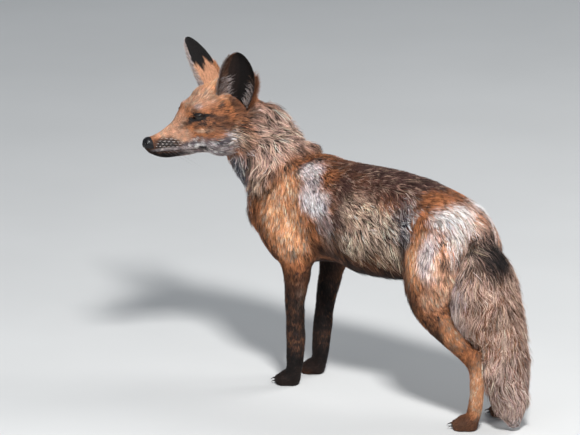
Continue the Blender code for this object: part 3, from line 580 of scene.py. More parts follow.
def triangles_of(mesh):
    mesh.calc_loop_triangles()
    return gathered(mesh.loop_triangles, "vertices", np.int32)


def move_vertices(mesh, places):
    mesh.vertices.foreach_set("co", places.astype(np.float32).ravel())
    mesh.update()


def set_colours(mesh, colours):
    """Stores the colour of the hair at each vertex of the mesh."""
    attribute = mesh.color_attributes.new("coat", "FLOAT_COLOR", "POINT")
    values = np.ones((len(mesh.vertices), 4), dtype=np.float32)
    values[:, :3] = colours
    attribute.data.foreach_set("color", values.ravel())


def face_outward(mesh, way=None):
    """Turns the faces of a shell outward, or those of a sheet the given way."""
    shell = bmesh.new()
    shell.from_mesh(mesh)
    bmesh.ops.recalc_face_normals(shell, faces=shell.faces)
    if way is not None and sum(face.normal.dot(Vector(way)) for face in shell.faces) < 0:
        bmesh.ops.reverse_faces(shell, faces=shell.faces)
    shell.to_mesh(mesh)
    shell.free()


def fused(nodes, name, voxel, smoothing):
    """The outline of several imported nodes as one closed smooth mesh."""
    shell = bmesh.new()
    for node in nodes:
        shell.from_mesh(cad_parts[node].data)
    mesh = bpy.data.meshes.new(name)
    shell.to_mesh(mesh)
    shell.free()
    item = add_object(name, mesh)
    step = item.modifiers.new("fuse", "REMESH")
    step.mode = "VOXEL"
    step.voxel_size = voxel
    settle(item)
    soften(item, smoothing)
    return item


# ---------------------------------------------------------------- skin
TAIL_NODES = ("tail_base", "tail_middle", "tail_tip")
EAR_NODES = ("ear_left", "ear_right")
OWN_NODES = ("nose", "eye_left", "eye_right")
BODY_NODES = tuple(sorted(set(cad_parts) - {*TAIL_NODES, *EAR_NODES, *OWN_NODES}))
FUSED_WITH_BODY = (*OWN_NODES, "tail_base")
SKIN_VOXEL, TAIL_VOXEL = 0.0021, 0.0030
FUSE_SMOOTHING, INSET_SMOOTHING = 4, 3
SOLE_HEIGHT = 0.0030               # skin lower than this stays on the floor
SOLE_HAIR_END = 0.0018             # and no hair is rooted below this
NOSE_INSET = 0.0012                # extra depth of the skin below the leather of the nose
LEATHER_END = 0.0112               # how far back the leather reaches, at mid height
LEATHER_BARE_END = 0.0102          # hair starts over its rear edge
MOUTH_DEPTH = 0.0010
# The tail hangs this much nearer to the left thigh: below which height, and over what. The body's
# skin leans with it behind and above two limits.
TAIL_LEAN = (0.0055, -0.0066, 0.0)
LEAN_FROM, LEAN_OVER = 0.335, 0.050
LEAN_BEHIND, LEAN_BEHIND_OVER = 0.340, 0.015
LEAN_ABOVE, LEAN_ABOVE_OVER = 0.20, 0.03
# Where the body's skin is the root of the tail: behind a limit, within a width, above a height.
ROOT_BEHIND, ROOT_BEHIND_OVER = 0.330, 0.012
ROOT_WIDTH, ROOT_WIDTH_OVER = 0.052, 0.010
ROOT_ABOVE = 0.19
# There it sinks below the tail's own skin, from one height down, and has no hair below another.
ROOT_SINK = 0.0095
ROOT_TOP, ROOT_OVER = 0.304, 0.034
ROOT_HAIR_END = 0.280
# Lower still, inside the tail, it is drawn together.
ROOT_INSIDE, ROOT_INSIDE_OVER = 0.348, 0.006
ROOT_LOW, ROOT_LOW_OVER = 0.276, 0.026
ROOT_ANCHOR = (0.003, 0.370, 0.272)
# The tail's own skin is drawn into the rump above a height, and its hair ends there.
TAIL_TOP, TAIL_TOP_OVER = 0.306, 0.020
TAIL_ANCHOR = (0.0, 0.322, 0.285)
TAIL_HAIR_TOP = 0.314
# The nape's skin stops at a slope through a place, from a height up.
NAPE, NAPE_WAY = (0.0037, -0.0287, 0.3899), (-0.672, 0.671, 0.314)
NAPE_FROM, NAPE_OVER = 0.370, 0.012
NAPE_CUT, NAPE_LIMIT = 0.92, 0.06


def leaned(places, tail):
    """Places of the tail's skin, and of the body's where it runs into the tail."""
    _, y, z = (places - STANCE).T
    share = ramp(z, LEAN_FROM, -LEAN_OVER)
    if not tail:
        share *= ramp(y, LEAN_BEHIND, LEAN_BEHIND_OVER)
        share *= ramp(z, LEAN_ABOVE, LEAN_ABOVE_OVER)
    return places + np.outer(share, TAIL_LEAN)


def root_share(places):
    """1 on the body's skin round the root of the tail, 0 elsewhere."""
    x, y, z = (places - STANCE).T
    return (ramp(y, ROOT_BEHIND, ROOT_BEHIND_OVER) * ramp(abs(x), ROOT_WIDTH, -ROOT_WIDTH_OVER)
            * (z > ROOT_ABOVE))


def drawn_to(places, anchor, share):
    return places + (body_place(anchor) - places) * share[:, None]


def root_closed(places):
    """The lower end of the body's skin inside the tail, drawn together there."""
    _, y, z = (places - STANCE).T
    share = root_share(places) * ramp(y, ROOT_INSIDE, ROOT_INSIDE_OVER)
    return drawn_to(places, ROOT_ANCHOR, share * ramp(z, ROOT_LOW, -ROOT_LOW_OVER))


def top_pressed(places):
    """The top of the tail's skin drawn into the rump."""
    return drawn_to(places, TAIL_ANCHOR, ramp(places[:, 2], TAIL_TOP, TAIL_TOP_OVER))


def nape_pressed(places):
    """The neck's skin cut back behind the nape, so that a notch forms before the withers."""
    stance = places - STANCE
    beyond = np.clip((stance - np.array(NAPE)) @ np.array(NAPE_WAY), 0, NAPE_LIMIT)
    share = ramp(stance[:, 2], NAPE_FROM, NAPE_OVER)
    return places - np.outer(NAPE_CUT * beyond * share, NAPE_WAY)


def inset_skin(name, nodes, voxel, rows, tail):
    """The outline of the nodes, drawn in by the depth of the coat."""
    item = fused(nodes, name, voxel, FUSE_SMOOTHING)
    places, normals = vertex_places(item.data), vertex_normals(item.data)
    depth = coat_at(places, rows)[:, SUNK]
    depth *= np.clip(places[:, 2] / SOLE_HEIGHT - 0.5, 0, 1)
    if not tail:
        depth += NOSE_INSET * np.clip(1 - on_head(places)[:, 0] / LEATHER_END, 0, 1)
        depth += MOUTH_DEPTH * mouth_share(places)
        depth += ROOT_SINK * root_share(places) * ramp(places[:, 2], ROOT_TOP, -ROOT_OVER)
    places -= normals * depth[:, None]
    move_vertices(item.data, top_pressed(places) if tail else nape_pressed(root_closed(places)))
    soften(item, INSET_SMOOTHING)
    places = leaned(vertex_places(item.data), tail)
    places[:, 2] = np.maximum(places[:, 2], 0.0)
    move_vertices(item.data, places)
    return item


class Surface:
    """A triangulated skin that finds its nearest place and a smooth normal there."""

    def __init__(self, mesh):
        self.places = vertex_places(mesh)
        self.corners = triangles_of(mesh)
        self.middles = self.places[self.corners].mean(axis=1)
        self.normals = unit(vertex_normals(mesh)[self.corners].mean(axis=1))
        self.tree = BVHTree.FromPolygons(self.places.tolist(), self.corners.tolist())

    def nearest(self, points):
        places, faces = np.empty_like(points), np.empty(len(points), dtype=int)
        for index, point in enumerate(points.tolist()):
            places[index], _, faces[index], _ = self.tree.find_nearest(point)
        return places, self.normals[faces]

    def scatter(self, count, weights, rng):
        """Random places, drawn by the area of each face and its weight."""
        a, b, c = (self.places[self.corners[:, k]] for k in range(3))
        area = np.linalg.norm(np.cross(b - a, c - a), axis=1) * weights
        chance = np.cumsum(area / area.sum())
        faces = np.minimum(np.searchsorted(chance, rng.random(count)), len(area) - 1)
        first, second = rng.random(count), rng.random(count)
        over = first + second > 1
        first[over], second[over] = 1 - first[over], 1 - second[over]
        return (a[faces] + (b - a)[faces] * first[:, None] + (c - a)[faces] * second[:, None],
                self.normals[faces])


# ---------------------------------------------------------------- locks of hair
UNWRAP_CELLS = 320                 # patches along each side of the coat's map
CELL_REACH = 14                    # how many cells from its place a lock's patch may lie
PATCH = 0.0030
ROOT_PAINTED_SHADE = (0.48, 0.12)          # darkness of the root in sleek and in ragged fur: the hair's darker base, deepened with painted shade low in the coat
# Painted light: tips lighter than their tone; the curve sets how the painted shade gives way to it
# along the lock.
TIP_PAINTED_LIGHT, SHADE_CURVE = 1.32, 0.7
RIDGE = 0.38                       # height of a lock's ridge, as a share of its width
EDGE_TURN = 0.62                   # how far the edges of a lock are shaded as if round


def patch_cells(spread, rng):
    """A cell of a square grid for each lock, each used once, as near as can be to its place."""
    wanted = np.clip((spread * UNWRAP_CELLS).astype(int), 0, UNWRAP_CELLS - 1)
    taken = np.zeros(UNWRAP_CELLS ** 2, dtype=bool)
    cells = wanted[:, 0] * UNWRAP_CELLS + wanted[:, 1]
    waiting = rng.permutation(len(wanted))
    reach = range(-CELL_REACH, CELL_REACH + 1)
    steps = [(i, j) for i in reach for j in reach]
    for step in sorted(steps, key=lambda step: (step[0] ** 2 + step[1] ** 2, step)):
        if not len(waiting):
            break
        spot = wanted[waiting] + np.array(step)
        inside = ((spot >= 0) & (spot < UNWRAP_CELLS)).all(axis=1)
        number = spot[:, 0] * UNWRAP_CELLS + spot[:, 1]
        free = np.zeros(len(waiting), dtype=bool)
        free[inside] = ~taken[number[inside]]
        chosen, first = np.unique(number[free], return_index=True)
        owners = np.flatnonzero(free)[first]
        cells[waiting[owners]] = chosen
        taken[chosen] = True
        waiting = np.delete(waiting, owners)
    return np.stack((cells // UNWRAP_CELLS, cells % UNWRAP_CELLS), axis=1) / UNWRAP_CELLS


def build_locks(name, rings, widths, normals, tones, root_painted_shade, spread, rng):
    """Locks from rings of centres (ring, lock, xyz): three corners to a ring, one at the tip."""
    count, last = rings.shape[1], len(rings) - 1
    points, shades, shading, corners_on_map = [], [], [], []
    for ring in range(last + 1):
        tangent = unit(rings[min(ring + 1, last)] - rings[max(ring - 1, 0)])
        outward = flat_to(normals[ring], tangent)
        side = np.cross(tangent, outward)
        share = ring / last
        # Painted shade at the root gives way to painted light at the tip.
        tone = tones * (root_painted_shade + (TIP_PAINTED_LIGHT - root_painted_shade) * share ** SHADE_CURVE)[:, None]
        corners = ((0.0, 0.0),) if ring == last else ((-0.5, 0.0), (0.0, RIDGE), (0.5, 0.0))
        for sideways, high in corners:
            width = widths[ring][:, None]
            points.append(rings[ring] + side * width * sideways + outward * width * high)
            turned = unit(0.5 * outward + 0.5 * normals[ring]) + side * 2 * sideways * EDGE_TURN
            shading.append(unit(turned))
            shades.append(tone)
            corners_on_map.append((sideways + 0.5, share))
    order = np.arange(count)[:, None] * len(points)
    shapes = []
    for low in range(0, last * 3 - 3, 3):
        shapes += [(low, low + 1, low + 4, low + 3), (low + 1, low + 2, low + 5, low + 4)]
    tip = last * 3
    shapes += [(tip - 3, tip - 2, tip), (tip - 2, tip - 1, tip)]
    faces = [face for shape in shapes for face in (order + np.array(shape)).tolist()]
    mesh = mesh_of(name, np.stack(points, axis=1).reshape(-1, 3), faces)
    set_colours(mesh, np.stack(shades, axis=1).reshape(-1, 3))
    cell = patch_cells(spread, rng)
    map_places = (cell[:, None, :] + np.array(corners_on_map) * PATCH).reshape(-1, 2)
    loops = np.zeros(len(mesh.loops), dtype=np.int32)
    mesh.loops.foreach_get("vertex_index", loops)
    uv = mesh.uv_layers.new(name="OFBake")
    uv.data.foreach_set("uv", map_places[loops].astype(np.float32).ravel())
    mesh.normals_split_custom_set_from_vertices(np.stack(shading, axis=1).reshape(-1, 3).tolist())
    return add_object(name, mesh)


HAIR_FLOOR = 0.0008                # no hair reaches lower than this
ROOT_DEPTH = 0.0004                # how deep in the skin a lock starts
LENGTHS, HEIGHTS, WIDTHS = (0.72, 1.25), (0.60, 1.12), (0.70, 1.30)    # spread of the locks' sizes
STRAYS, RAGGED_STRAYS = 0.04, 0.14         # share of stray locks, and what ragged fur adds
STRAY_RISE, STRAY_WIDTH = 0.80, 0.6
SWIRL = ((0.75, 0.022, 51), (0.45, 0.008, 61))
TURN, SLEEK_TURN, RAGGED_TURN = 0.40, 0.14, 0.75       # how far locks turn out of the lie
RISE_CURVE, TAPER = 1.7, 0.45
DROP = 0.004                       # the most that ragged hair stands off a hollow it runs over
CLUMPING, RAGGED_CLUMPING, CLUMP_CURVE = 0.25, 0.55, 1.2
UNDER_PAINTED_SHADE, OVER_PAINTED_LIGHT = 0.55, 0.25       # painted shade on the lowest hairs, painted light on the highest ones
CLUMP_SHADE, CLUMP_LIMIT = 0.34, 0.7       # how far the clumps of the most ragged fur differ
SLEEK_UNDER, SLEEK_CLUMP = 0.35, 0.30      # shares of both in sleek fur
SCATTER = 0.20                     # how far hairs of two patches mix, per length
MOTTLE, MOTTLE_STRENGTH, MOTTLE_NOISE = 0.0048, 0.35, 0.14     # flecks of odd hairs
ODD_LIMIT = 0.60
CLOUDS = ((0.22, 0.018, 31), (0.34, 0.006, 41))
OWN_TONE, OWN_LIMITS = 0.20, (0.5, 1.6)    # spread of single locks in strength
WARMTH = 0.04                      # and in hue
DARKEST, LIGHTEST, LIGHTEST_CLUMP = 0.003, 0.90, 0.92


def lock_tones(points, length, rng, tail):
    """The colour of each lock: its patch's tone, or the odd hair's in small flecks."""
    mix = rng.normal(0, 1, points.shape) * (SCATTER * length)[:, None]
    layers = markings(points, tail, mix)
    fleck = MOTTLE_STRENGTH * ripple(points, MOTTLE, 21) + rng.normal(0, MOTTLE_NOISE, len(points))
    odd = fleck > ODD_LIMIT * (0.5 - layers[:, 6])
    tones = np.where(odd[:, None], layers[:, 3:6], layers[:, :3])
    own = rng.normal(1.0, OWN_TONE, len(points)).clip(*OWN_LIMITS)
    warmth = 1 + rng.normal(0.0, WARMTH, (len(points), 3))
    tones = tones * ((1 + ripples(points, CLOUDS)) * own)[:, None] * warmth
    return tones.clip(DARKEST, LIGHTEST)


def clump_chiefs(roots, every, rng):
    """For each lock, the number of the lock whose tip its clump shares."""
    count = len(roots)
    leaders = np.sort(rng.choice(count, max(count // every, 1), replace=False))
    tree = KDTree(len(leaders))
    for index, place in enumerate(roots[leaders].tolist()):
        tree.insert(place, index)
    tree.balance()
    return leaders[[tree.find(place)[1] for place in roots.tolist()]]


def clumped(rings, chief, share):
    """Draws neighbouring locks towards shared tips."""
    last = len(rings) - 1
    for ring in range(1, last + 1):
        pull = share * (ring / last) ** CLUMP_CURVE
        rings[ring] += (rings[ring][chief] - rings[ring]) * pull[:, None]
    return rings


def grow(name, surface, rows, count, segments, weights, unwrap, every, rng, tail=False):
    """Fur over part of a skin: each lock follows the lie and the form of the skin below it."""
    roots, normal = surface.scatter(count, weights, rng)
    coat = coat_at(roots, rows)
    ragged = coat[:, RAGGED]
    length = coat[:, LENGTH] * rng.uniform(*LENGTHS, count)
    height = coat[:, HEIGHT] * rng.uniform(*HEIGHTS, count)
    stray = rng.random(count) < STRAYS + RAGGED_STRAYS * ragged ** 2
    height = np.where(stray, height * (1 + STRAY_RISE * ragged), height)
    width = coat[:, WIDTH] * rng.uniform(*WIDTHS, count) * np.where(stray, STRAY_WIDTH, 1)
    angle = ripples(roots, SWIRL) + rng.normal(0, TURN, count)
    angle *= SLEEK_TURN + RAGGED_TURN * ragged
    lie = flat_to(coat[:, LIE], normal)
    lie = lie * np.cos(angle)[:, None] + np.cross(normal, lie) * np.sin(angle)[:, None]
    rings, normals, widths = [roots - normal * ROOT_DEPTH], [normal], [width]
    place = roots
    for ring in range(1, segments + 1):
        share = ring / segments
        step = place + lie * (length / segments)[:, None]
        place, normal = surface.nearest(step)
        drop = ((step - place) * normal).sum(axis=1)
        lie = flat_to(lie, normal)
        high = height * (1 - (1 - share) ** RISE_CURVE) + np.clip(drop, 0, DROP) * ragged
        rings.append(place + normal * high[:, None])
        normals.append(normal)
        widths.append(width * (1 - share) ** TAPER)
    chief = clump_chiefs(roots, every, rng)
    rings = clumped(np.array(rings), chief, CLUMPING + RAGGED_CLUMPING * ragged)
    rings[:, :, 2] = np.maximum(rings[:, :, 2], HAIR_FLOOR)
    tones = lock_tones(roots, coat[:, LENGTH], rng, tail)
    # Painted shade on locks that lie low in the coat, painted light on those that stand highest.
    rise = ramp(height / coat[:, HEIGHT], HEIGHTS[0], HEIGHTS[1] - HEIGHTS[0])
    painted_layer_shading = OVER_PAINTED_LIGHT * rise - UNDER_PAINTED_SHADE * (1 - rise)
    clump = rng.normal(0, CLUMP_SHADE, count).clip(-CLUMP_LIMIT, CLUMP_LIMIT)[chief]
    tones = tones * (1 + painted_layer_shading * (SLEEK_UNDER + ragged))[:, None]
    tones = tones * (1 + clump * (SLEEK_CLUMP + ragged))[:, None]
    tones = tones.clip(DARKEST, LIGHTEST_CLUMP)
    root_painted_shade = ROOT_PAINTED_SHADE[0] + (ROOT_PAINTED_SHADE[1] - ROOT_PAINTED_SHADE[0]) * ragged
    return build_locks(name, rings, widths, normals, tones, root_painted_shade, unwrap(roots), rng)


# ---------------------------------------------------------------- materials
def principled(name, grain_scale, roughness, bump, distance, stretch=None, specular=0.5, sheen=0.0,
               coat=0.0, coat_roughness=0.05):
    """A material with a fine grain in its roughness and its form; also returns the grain."""
    material = bpy.data.materials.new(name)
    material.use_nodes = True
    tree = material.node_tree
    shader = tree.nodes["Principled BSDF"]
    shader.inputs["Specular IOR Level"].default_value = specular
    shader.inputs["Sheen Weight"].default_value = sheen
    shader.inputs["Coat Weight"].default_value = coat
    shader.inputs["Coat Roughness"].default_value = coat_roughness
    grain = noise_node(tree, grain_scale, stretch)
    tree.links.new(ranged(tree, grain, *roughness), shader.inputs["Roughness"])
    node = tree.nodes.new("ShaderNodeBump")
    node.inputs["Strength"].default_value = bump
    node.inputs["Distance"].default_value = distance
    tree.links.new(grain, node.inputs["Height"])
    tree.links.new(node.outputs["Normal"], shader.inputs["Normal"])
    return material, grain


def noise_node(tree, scale, stretch):
    """Noise over the object's own coordinates, stretched along an axis where asked."""
    place = tree.nodes.new("ShaderNodeTexCoord").outputs["Object"]
    if stretch:
        mapping = tree.nodes.new("ShaderNodeMapping")
        mapping.inputs["Scale"].default_value = stretch
        tree.links.new(place, mapping.inputs["Vector"])
        place = mapping.outputs["Vector"]
    noise = tree.nodes.new("ShaderNodeTexNoise")
    noise.inputs["Scale"].default_value = scale
    noise.inputs["Detail"].default_value = 3.0
    tree.links.new(place, noise.inputs["Vector"])
    return noise.outputs["Fac"]


def ranged(tree, value, low, high):
    node = tree.nodes.new("ShaderNodeMapRange")
    node.inputs["To Min"].default_value = low
    node.inputs["To Max"].default_value = high
    tree.links.new(value, node.inputs["Value"])
    return node.outputs["Result"]


def coloured_material(name, variation, *grain_values, **options):
    """The colour stored on the mesh, varied in strength by the grain."""
    material, grain = principled(name, *grain_values, **options)
    tree = material.node_tree
    own = tree.nodes.new("ShaderNodeAttribute")
    own.attribute_name = "coat"
    product = tree.nodes.new("ShaderNodeVectorMath")
    product.operation = "SCALE"
    tree.links.new(own.outputs["Color"], product.inputs[0])
    tree.links.new(ranged(tree, grain, *variation), product.inputs["Scale"])
    tree.links.new(product.outputs["Vector"], tree.nodes["Principled BSDF"].inputs["Base Color"])
    return material


def toned_material(name, dark, light, *grain_values, **options):
    """A horny or leathery surface between two tones."""
    material, grain = principled(name, *grain_values, **options)
    tree = material.node_tree
    mix = tree.nodes.new("ShaderNodeMix")
    mix.data_type = "RGBA"
    mix.inputs["A"].default_value = (*dark, 1.0)
    mix.inputs["B"].default_value = (*light, 1.0)
    tree.links.new(grain, mix.inputs["Factor"])
    tree.links.new(mix.outputs["Result"], tree.nodes["Principled BSDF"].inputs["Base Color"])
    return material


FUR = dict(specular=0.16, sheen=0.02)
# Name, variation or two tones, scale of the grain, roughness, strength and depth of the bump.
HAIR = coloured_material("hair", (0.74, 1.28), 260.0, (0.50, 0.74), 0.15, 0.0003, **FUR)
SKIN = coloured_material("short_fur", (0.45, 1.15), 420.0, (0.50, 0.74), 0.9, 0.0012,
                         stretch=(1.0, 0.45, 0.45), **FUR)
EYE_GLASS = coloured_material("eye_glass", (0.8, 1.2), 1500.0, (0.10, 0.18), 0.03, 0.0001,
                              specular=0.35, coat=0.25, coat_roughness=0.03)
LEATHER = toned_material("nose_leather", (0.004, 0.004, 0.005), (0.012, 0.011, 0.012), 900.0,
                         (0.28, 0.42), 0.5, 0.0003, specular=0.24, coat=0.05)
HORN = toned_material("claw_horn", (0.012, 0.010, 0.009), (0.055, 0.045, 0.038), 500.0,
                      (0.32, 0.52), 0.2, 0.0002)
WHISKER = toned_material("whisker", (0.05, 0.045, 0.045), (0.20, 0.18, 0.17), 300.0,
                         (0.40, 0.55), 0.1, 0.0001)
LID = toned_material("eyelid", (0.005, 0.004, 0.004), (0.014, 0.010, 0.009), 600.0,
                     (0.62, 0.80), 0.3, 0.0002, specular=0.2)


# ---------------------------------------------------------------- ears
# A pair of values holds for the near (1) and the far (-1) ear.
EAR_BASE, EAR_SHIFT = (0.1450, 0.0300, 0.0400), {1: 0.0, -1: 0.0060}
EAR_TIP, EAR_SWING = (0.1320, 0.0670, 0.1410), {1: -0.0010, -1: -0.0130}
EAR_TURN = {1: math.radians(58.0), -1: math.radians(71.0)}
EAR_NARROWING = {1: 1.0, -1: 0.86} # the far ear is seen turned further away
EAR_OFFSET = {1: 0.0, -1: 0.0030}
EAR_HALF_WIDTH, EAR_LEAST_WIDTH = 0.0340, 0.0016
EAR_BASE_SHARE, EAR_SWELL, EAR_TAPER = 0.62, 0.95, 0.60    # width up the ear
EAR_TIP_ROUND = 0.50
EAR_BOW = 0.0040
EAR_CUP, EAR_LEAST_CUP = 0.0190, 0.0015
EAR_CUP_CURVE, EAR_CUP_FORM = 0.8, 2.2     # how the cup ends upwards, and its form across
EAR_THICKNESS, EAR_RIM_THINNING, EAR_TIP_THINNING = 0.0042, 0.6, 0.45
EAR_BACK, EAR_FRONT = 0.22, 0.62   # the skin's two faces, as shares of the ear's thickness
EAR_ROWS, EAR_COLUMNS, EAR_CROWDING = 40, 33, 1.5
EAR_WAVES = ((0.06, 9.0, 1), (0.03, 23.0, 0))      # strength, rate, shift by side
BLACK_FROM, BLACK_OVER, BLACK_SLOPE = 0.50, 0.08, 0.03     # the black of the ear"s back
# Bands across each face: tone, strength, start and width towards the front rim (1), waviness.
BACK_BANDS = (("pale", 0.85, 0.78, 0.10, 0),)
FRONT_BANDS = (("umber", 1, -0.05, 0.20, 1), ("brown", 1, 0.25, 0.30, 1),
               ("tan", 0.7, 0.60, 0.30, 1), ("black", 1, -0.86, -0.08, 0))


class Ear:
    """One ear: places and normals on its sheet, by height t and width s from -1 to 1."""

    def __init__(self, side):
        self.side = side
        self.base = head_place((EAR_BASE[0] + EAR_SHIFT[side], side * EAR_BASE[1], EAR_BASE[2]))
        tip = head_place((EAR_TIP[0] + EAR_SWING[side], side * EAR_TIP[1], EAR_TIP[2]))
        self.height = np.linalg.norm(tip - self.base)
        self.along = (tip - self.base) / self.height
        facing = FORWARD * math.cos(EAR_TURN[side]) + LEFT * side * math.sin(EAR_TURN[side])
        self.facing = unit(facing - self.along * (facing @ self.along))
        self.across = np.cross(self.along, self.facing)
        self.front_edge = 1.0 if self.across @ FORWARD > 0 else -1.0

    def place(self, s, t, share):
        """Places on the sheet, at a share of its thickness."""
        t = np.clip(t, 0, 1)
        swell = EAR_BASE_SHARE + EAR_SWELL * t - EAR_TAPER * t ** 2
        width = EAR_HALF_WIDTH * swell * (1 - t ** 2) ** EAR_TIP_ROUND
        cup = EAR_CUP * (1 - t) ** EAR_CUP_CURVE + EAR_LEAST_CUP
        wall = EAR_THICKNESS * (1 - EAR_RIM_THINNING * s ** 4) * (1 - EAR_TIP_THINNING * t)
        deep = share * wall - cup * (1 - abs(s) ** EAR_CUP_FORM)
        wide = np.maximum(width, EAR_LEAST_WIDTH) * np.sin(s * math.pi / 2)
        wide = wide * EAR_NARROWING[self.side] - EAR_OFFSET[self.side] * self.front_edge * (1 - t)
        bow = EAR_BOW * np.sin(math.pi * t)
        return (self.base + np.outer(self.height * t, self.along) - np.outer(bow, FORWARD)
                + np.outer(wide, self.across) + np.outer(deep, self.facing))

    def normal(self, s, t, face, step=0.02):
        """Outward normal of the front (1) or back (-1) face."""
        low, high = np.clip(t - step, 0, 1), np.clip(t + step, 0, 1)
        left, right = np.clip(s - step, -1, 1), np.clip(s + step, -1, 1)
        rise = self.place(s, high, 0.5) - self.place(s, low, 0.5)
        turn = self.place(right, t, 0.5) - self.place(left, t, 0.5)
        normal = unit(np.cross(rise, turn))
        flip = np.sign(normal @ self.facing) * face
        return normal * np.where(flip == 0, 1, flip)[:, None]

    def skin(self):
        """A thin closed cup: two sheets joined round their edge."""
        rows = 1 - (1 - np.linspace(0, 1, EAR_ROWS)) ** EAR_CROWDING
        t, s = np.meshgrid(rows, np.linspace(-1, 1, EAR_COLUMNS), indexing="ij")
        t, s = t.ravel(), s.ravel()
        sheet = len(s)
        faces = []
        for quad in grid_faces(EAR_ROWS, EAR_COLUMNS, False):
            faces += [quad, tuple(sheet + corner for corner in reversed(quad))]
        number = np.arange(sheet).reshape(EAR_ROWS, EAR_COLUMNS)
        edge = (number[0], number[1:, -1], number[-1, -2::-1], number[-2:0:-1, 0])
        edge = np.concatenate(edge).tolist()
        for corner, after in zip(edge, edge[1:] + edge[:1]):
            faces.append((after, corner, corner + sheet, after + sheet))
        points = np.vstack((self.place(s, t, EAR_BACK), self.place(s, t, EAR_FRONT)))
        mesh = mesh_of("ear_skin", points, faces)
        set_colours(mesh, np.vstack((self.tones(s, t, -1), self.tones(s, t, 1))))
        face_outward(mesh)
        return add_object("ear_skin", mesh)

    def tones(self, s, t, face):
        """Orange then black behind; dark within, brown and tan towards the front rim."""
        ahead = s * self.front_edge
        wave = sum(strength * np.sin(s * rate + shift * self.side)
                   for strength, rate, shift in EAR_WAVES)
        if face < 0:
            ground = 0.5 * (np.array(TONES["bright"][0]) + np.array(TONES["salmon"][0]))
            black = ramp(t - BLACK_SLOPE * ahead + wave, BLACK_FROM, BLACK_OVER)
            layers, bands = [("black", black)], BACK_BANDS
        else:
            ground = np.array(TONES["black"][0])
            layers, bands = [], FRONT_BANDS
        for tone, strength, start, over, wavy in bands:
            layers.append((tone, strength * ramp(ahead + wavy * wave, start, over)))
        colour = np.tile(ground, (len(s), 1))
        for tone, share in layers:
            colour += (np.array(TONES[tone][0]) - colour) * share[:, None]
        return colour

    def locks(self, s, t, face, length, height, lean):
        """Roots and tips of locks on one face, leaning by (s, t) per length, and their normals."""
        share = EAR_FRONT if face > 0 else EAR_BACK
        root = self.place(s, t, share)
        s_tip = (s + lean[0] * length / EAR_HALF_WIDTH).clip(-1, 1)
        t_tip = t + lean[1] * length / self.height
        tip = self.place(s_tip, t_tip, share)
        tip += np.outer(np.clip(t_tip - 1, 0, 1) * self.height, self.along)
        normal = self.normal(s_tip, t_tip.clip(0, 0.98), face)
        return np.array((root, tip + normal * height[:, None])), (self.normal(s, t, face), normal)


# Longer hair: face, rim (1 front), locks, length in mm, from which share of the width, up to
# which height, and its tones with their shares.
EAR_FRINGES = (
    (1, 1, 1000, 13.0, 0.45, 0.90, (("brown", 3), ("umber", 3), ("tan", 3))),
    (1, 1, 360, 15.0, 0.25, 0.50, (("pale", 2), ("white", 1))),
    (1, -1, 260, 11.0, 0.55, 0.55, (("umber", 3), ("tan", 2))),
    (1, -1, 200, 12.0, 0.50, 0.40, (("pale", 1), ("white", 1))),
    (-1, -1, 1900, 25.0, 0.30, 0.50, (("rust", 3), ("brown", 3), ("bright", 3))),
    (-1, 1, 800, 11.0, 0.66, 0.92, (("cream", 2), ("pale", 4), ("grey", 2))),
)
FAR_FRINGE = 0.45                  # the far ear's rear fringe is this much shorter
EAR_LIGHTEST = 0.95
EAR_MAP_EDGE, EAR_MAP_HALF, EAR_MAP_FOOT, EAR_MAP_HEIGHT = 0.05, 0.45, 0.01, 0.97
VELVET = ((-1, 8000), (1, 5000))   # face, locks
# Spread of lengths, how they fall from the root of the ear up, and spread of heights and widths.
VELVET_SIZES = ((2.8, 5.0), (1.9, 1.50), (0.4, 1.0), (0.45, 0.8))
FRINGE_SIZES = ((0.45, 1.15), (1.15, 0.7), (0.12, 0.45), (0.40, 0.75))
# Tone of single locks: mean, spread and limits.
VELVET_TONE, FRINGE_TONE = (1.0, 0.25, 0.4, 1.7), (0.95, 0.22, 0.4, 1.4)
VELVET_UP, VELVET_CROWDING = (0.02, 0.985), 0.9    # from which height to which, denser above
VELVET_LEAN = 0.2                  # spread of the lean to the side
FRINGE_FOOT, FRINGE_RIM = 0.03, 0.98       # lowest root, and root nearest to the rim
FRINGE_OVER, FRINGE_RISE = (0.10, 0.80), (0.45, 1.0)       # lean over the rim and upwards


def lock_sizes(t, sizes, reach, rng):
    lengths, (most, fall), heights, widths = sizes
    length = rng.uniform(*lengths, len(t)) * reach * MM * (most - fall * t)
    height = rng.uniform(*heights, len(t)) * reach * MM
    return length, height, rng.uniform(*widths, len(t)) * MM


def varied(tones, spread, rng):
    mean, width, least, most = spread
    return tones * rng.normal(mean, width, len(tones)).clip(least, most)[:, None]


def velvet(ear, face, count, rng):
    """Short fur all over one face of an ear."""
    s, t = rng.uniform(-1, 1, count), rng.uniform(*VELVET_UP, count) ** VELVET_CROWDING
    tones = varied(ear.tones(s, t, face), VELVET_TONE, rng)
    sizes = lock_sizes(t, VELVET_SIZES, 1.0, rng)
    return s, t, tones, sizes, (rng.normal(0, VELVET_LEAN, count), np.ones(count))


def fringe(ear, face, edge, count, reach, near, top, tips, rng):
    """Longer hair along one rim, leaning over it."""
    if face < 0 and edge < 0 and ear.side < 0:
        reach *= FAR_FRINGE
    ahead = ear.front_edge * edge
    s = ahead * rng.uniform(near, FRINGE_RIM, count)
    t = rng.uniform(FRINGE_FOOT, top, count)
    shares = np.cumsum([share for _, share in tips])
    pick = np.searchsorted(shares, rng.random(count) * shares[-1])
    tones = varied(np.array([TONES[tone][0] for tone, _ in tips])[pick], FRINGE_TONE, rng)
    sizes = lock_sizes(t, FRINGE_SIZES, reach, rng)
    over = -ahead * face * rng.uniform(*FRINGE_OVER, count)
    return s, t, tones, sizes, (over, rng.uniform(*FRINGE_RISE, count))


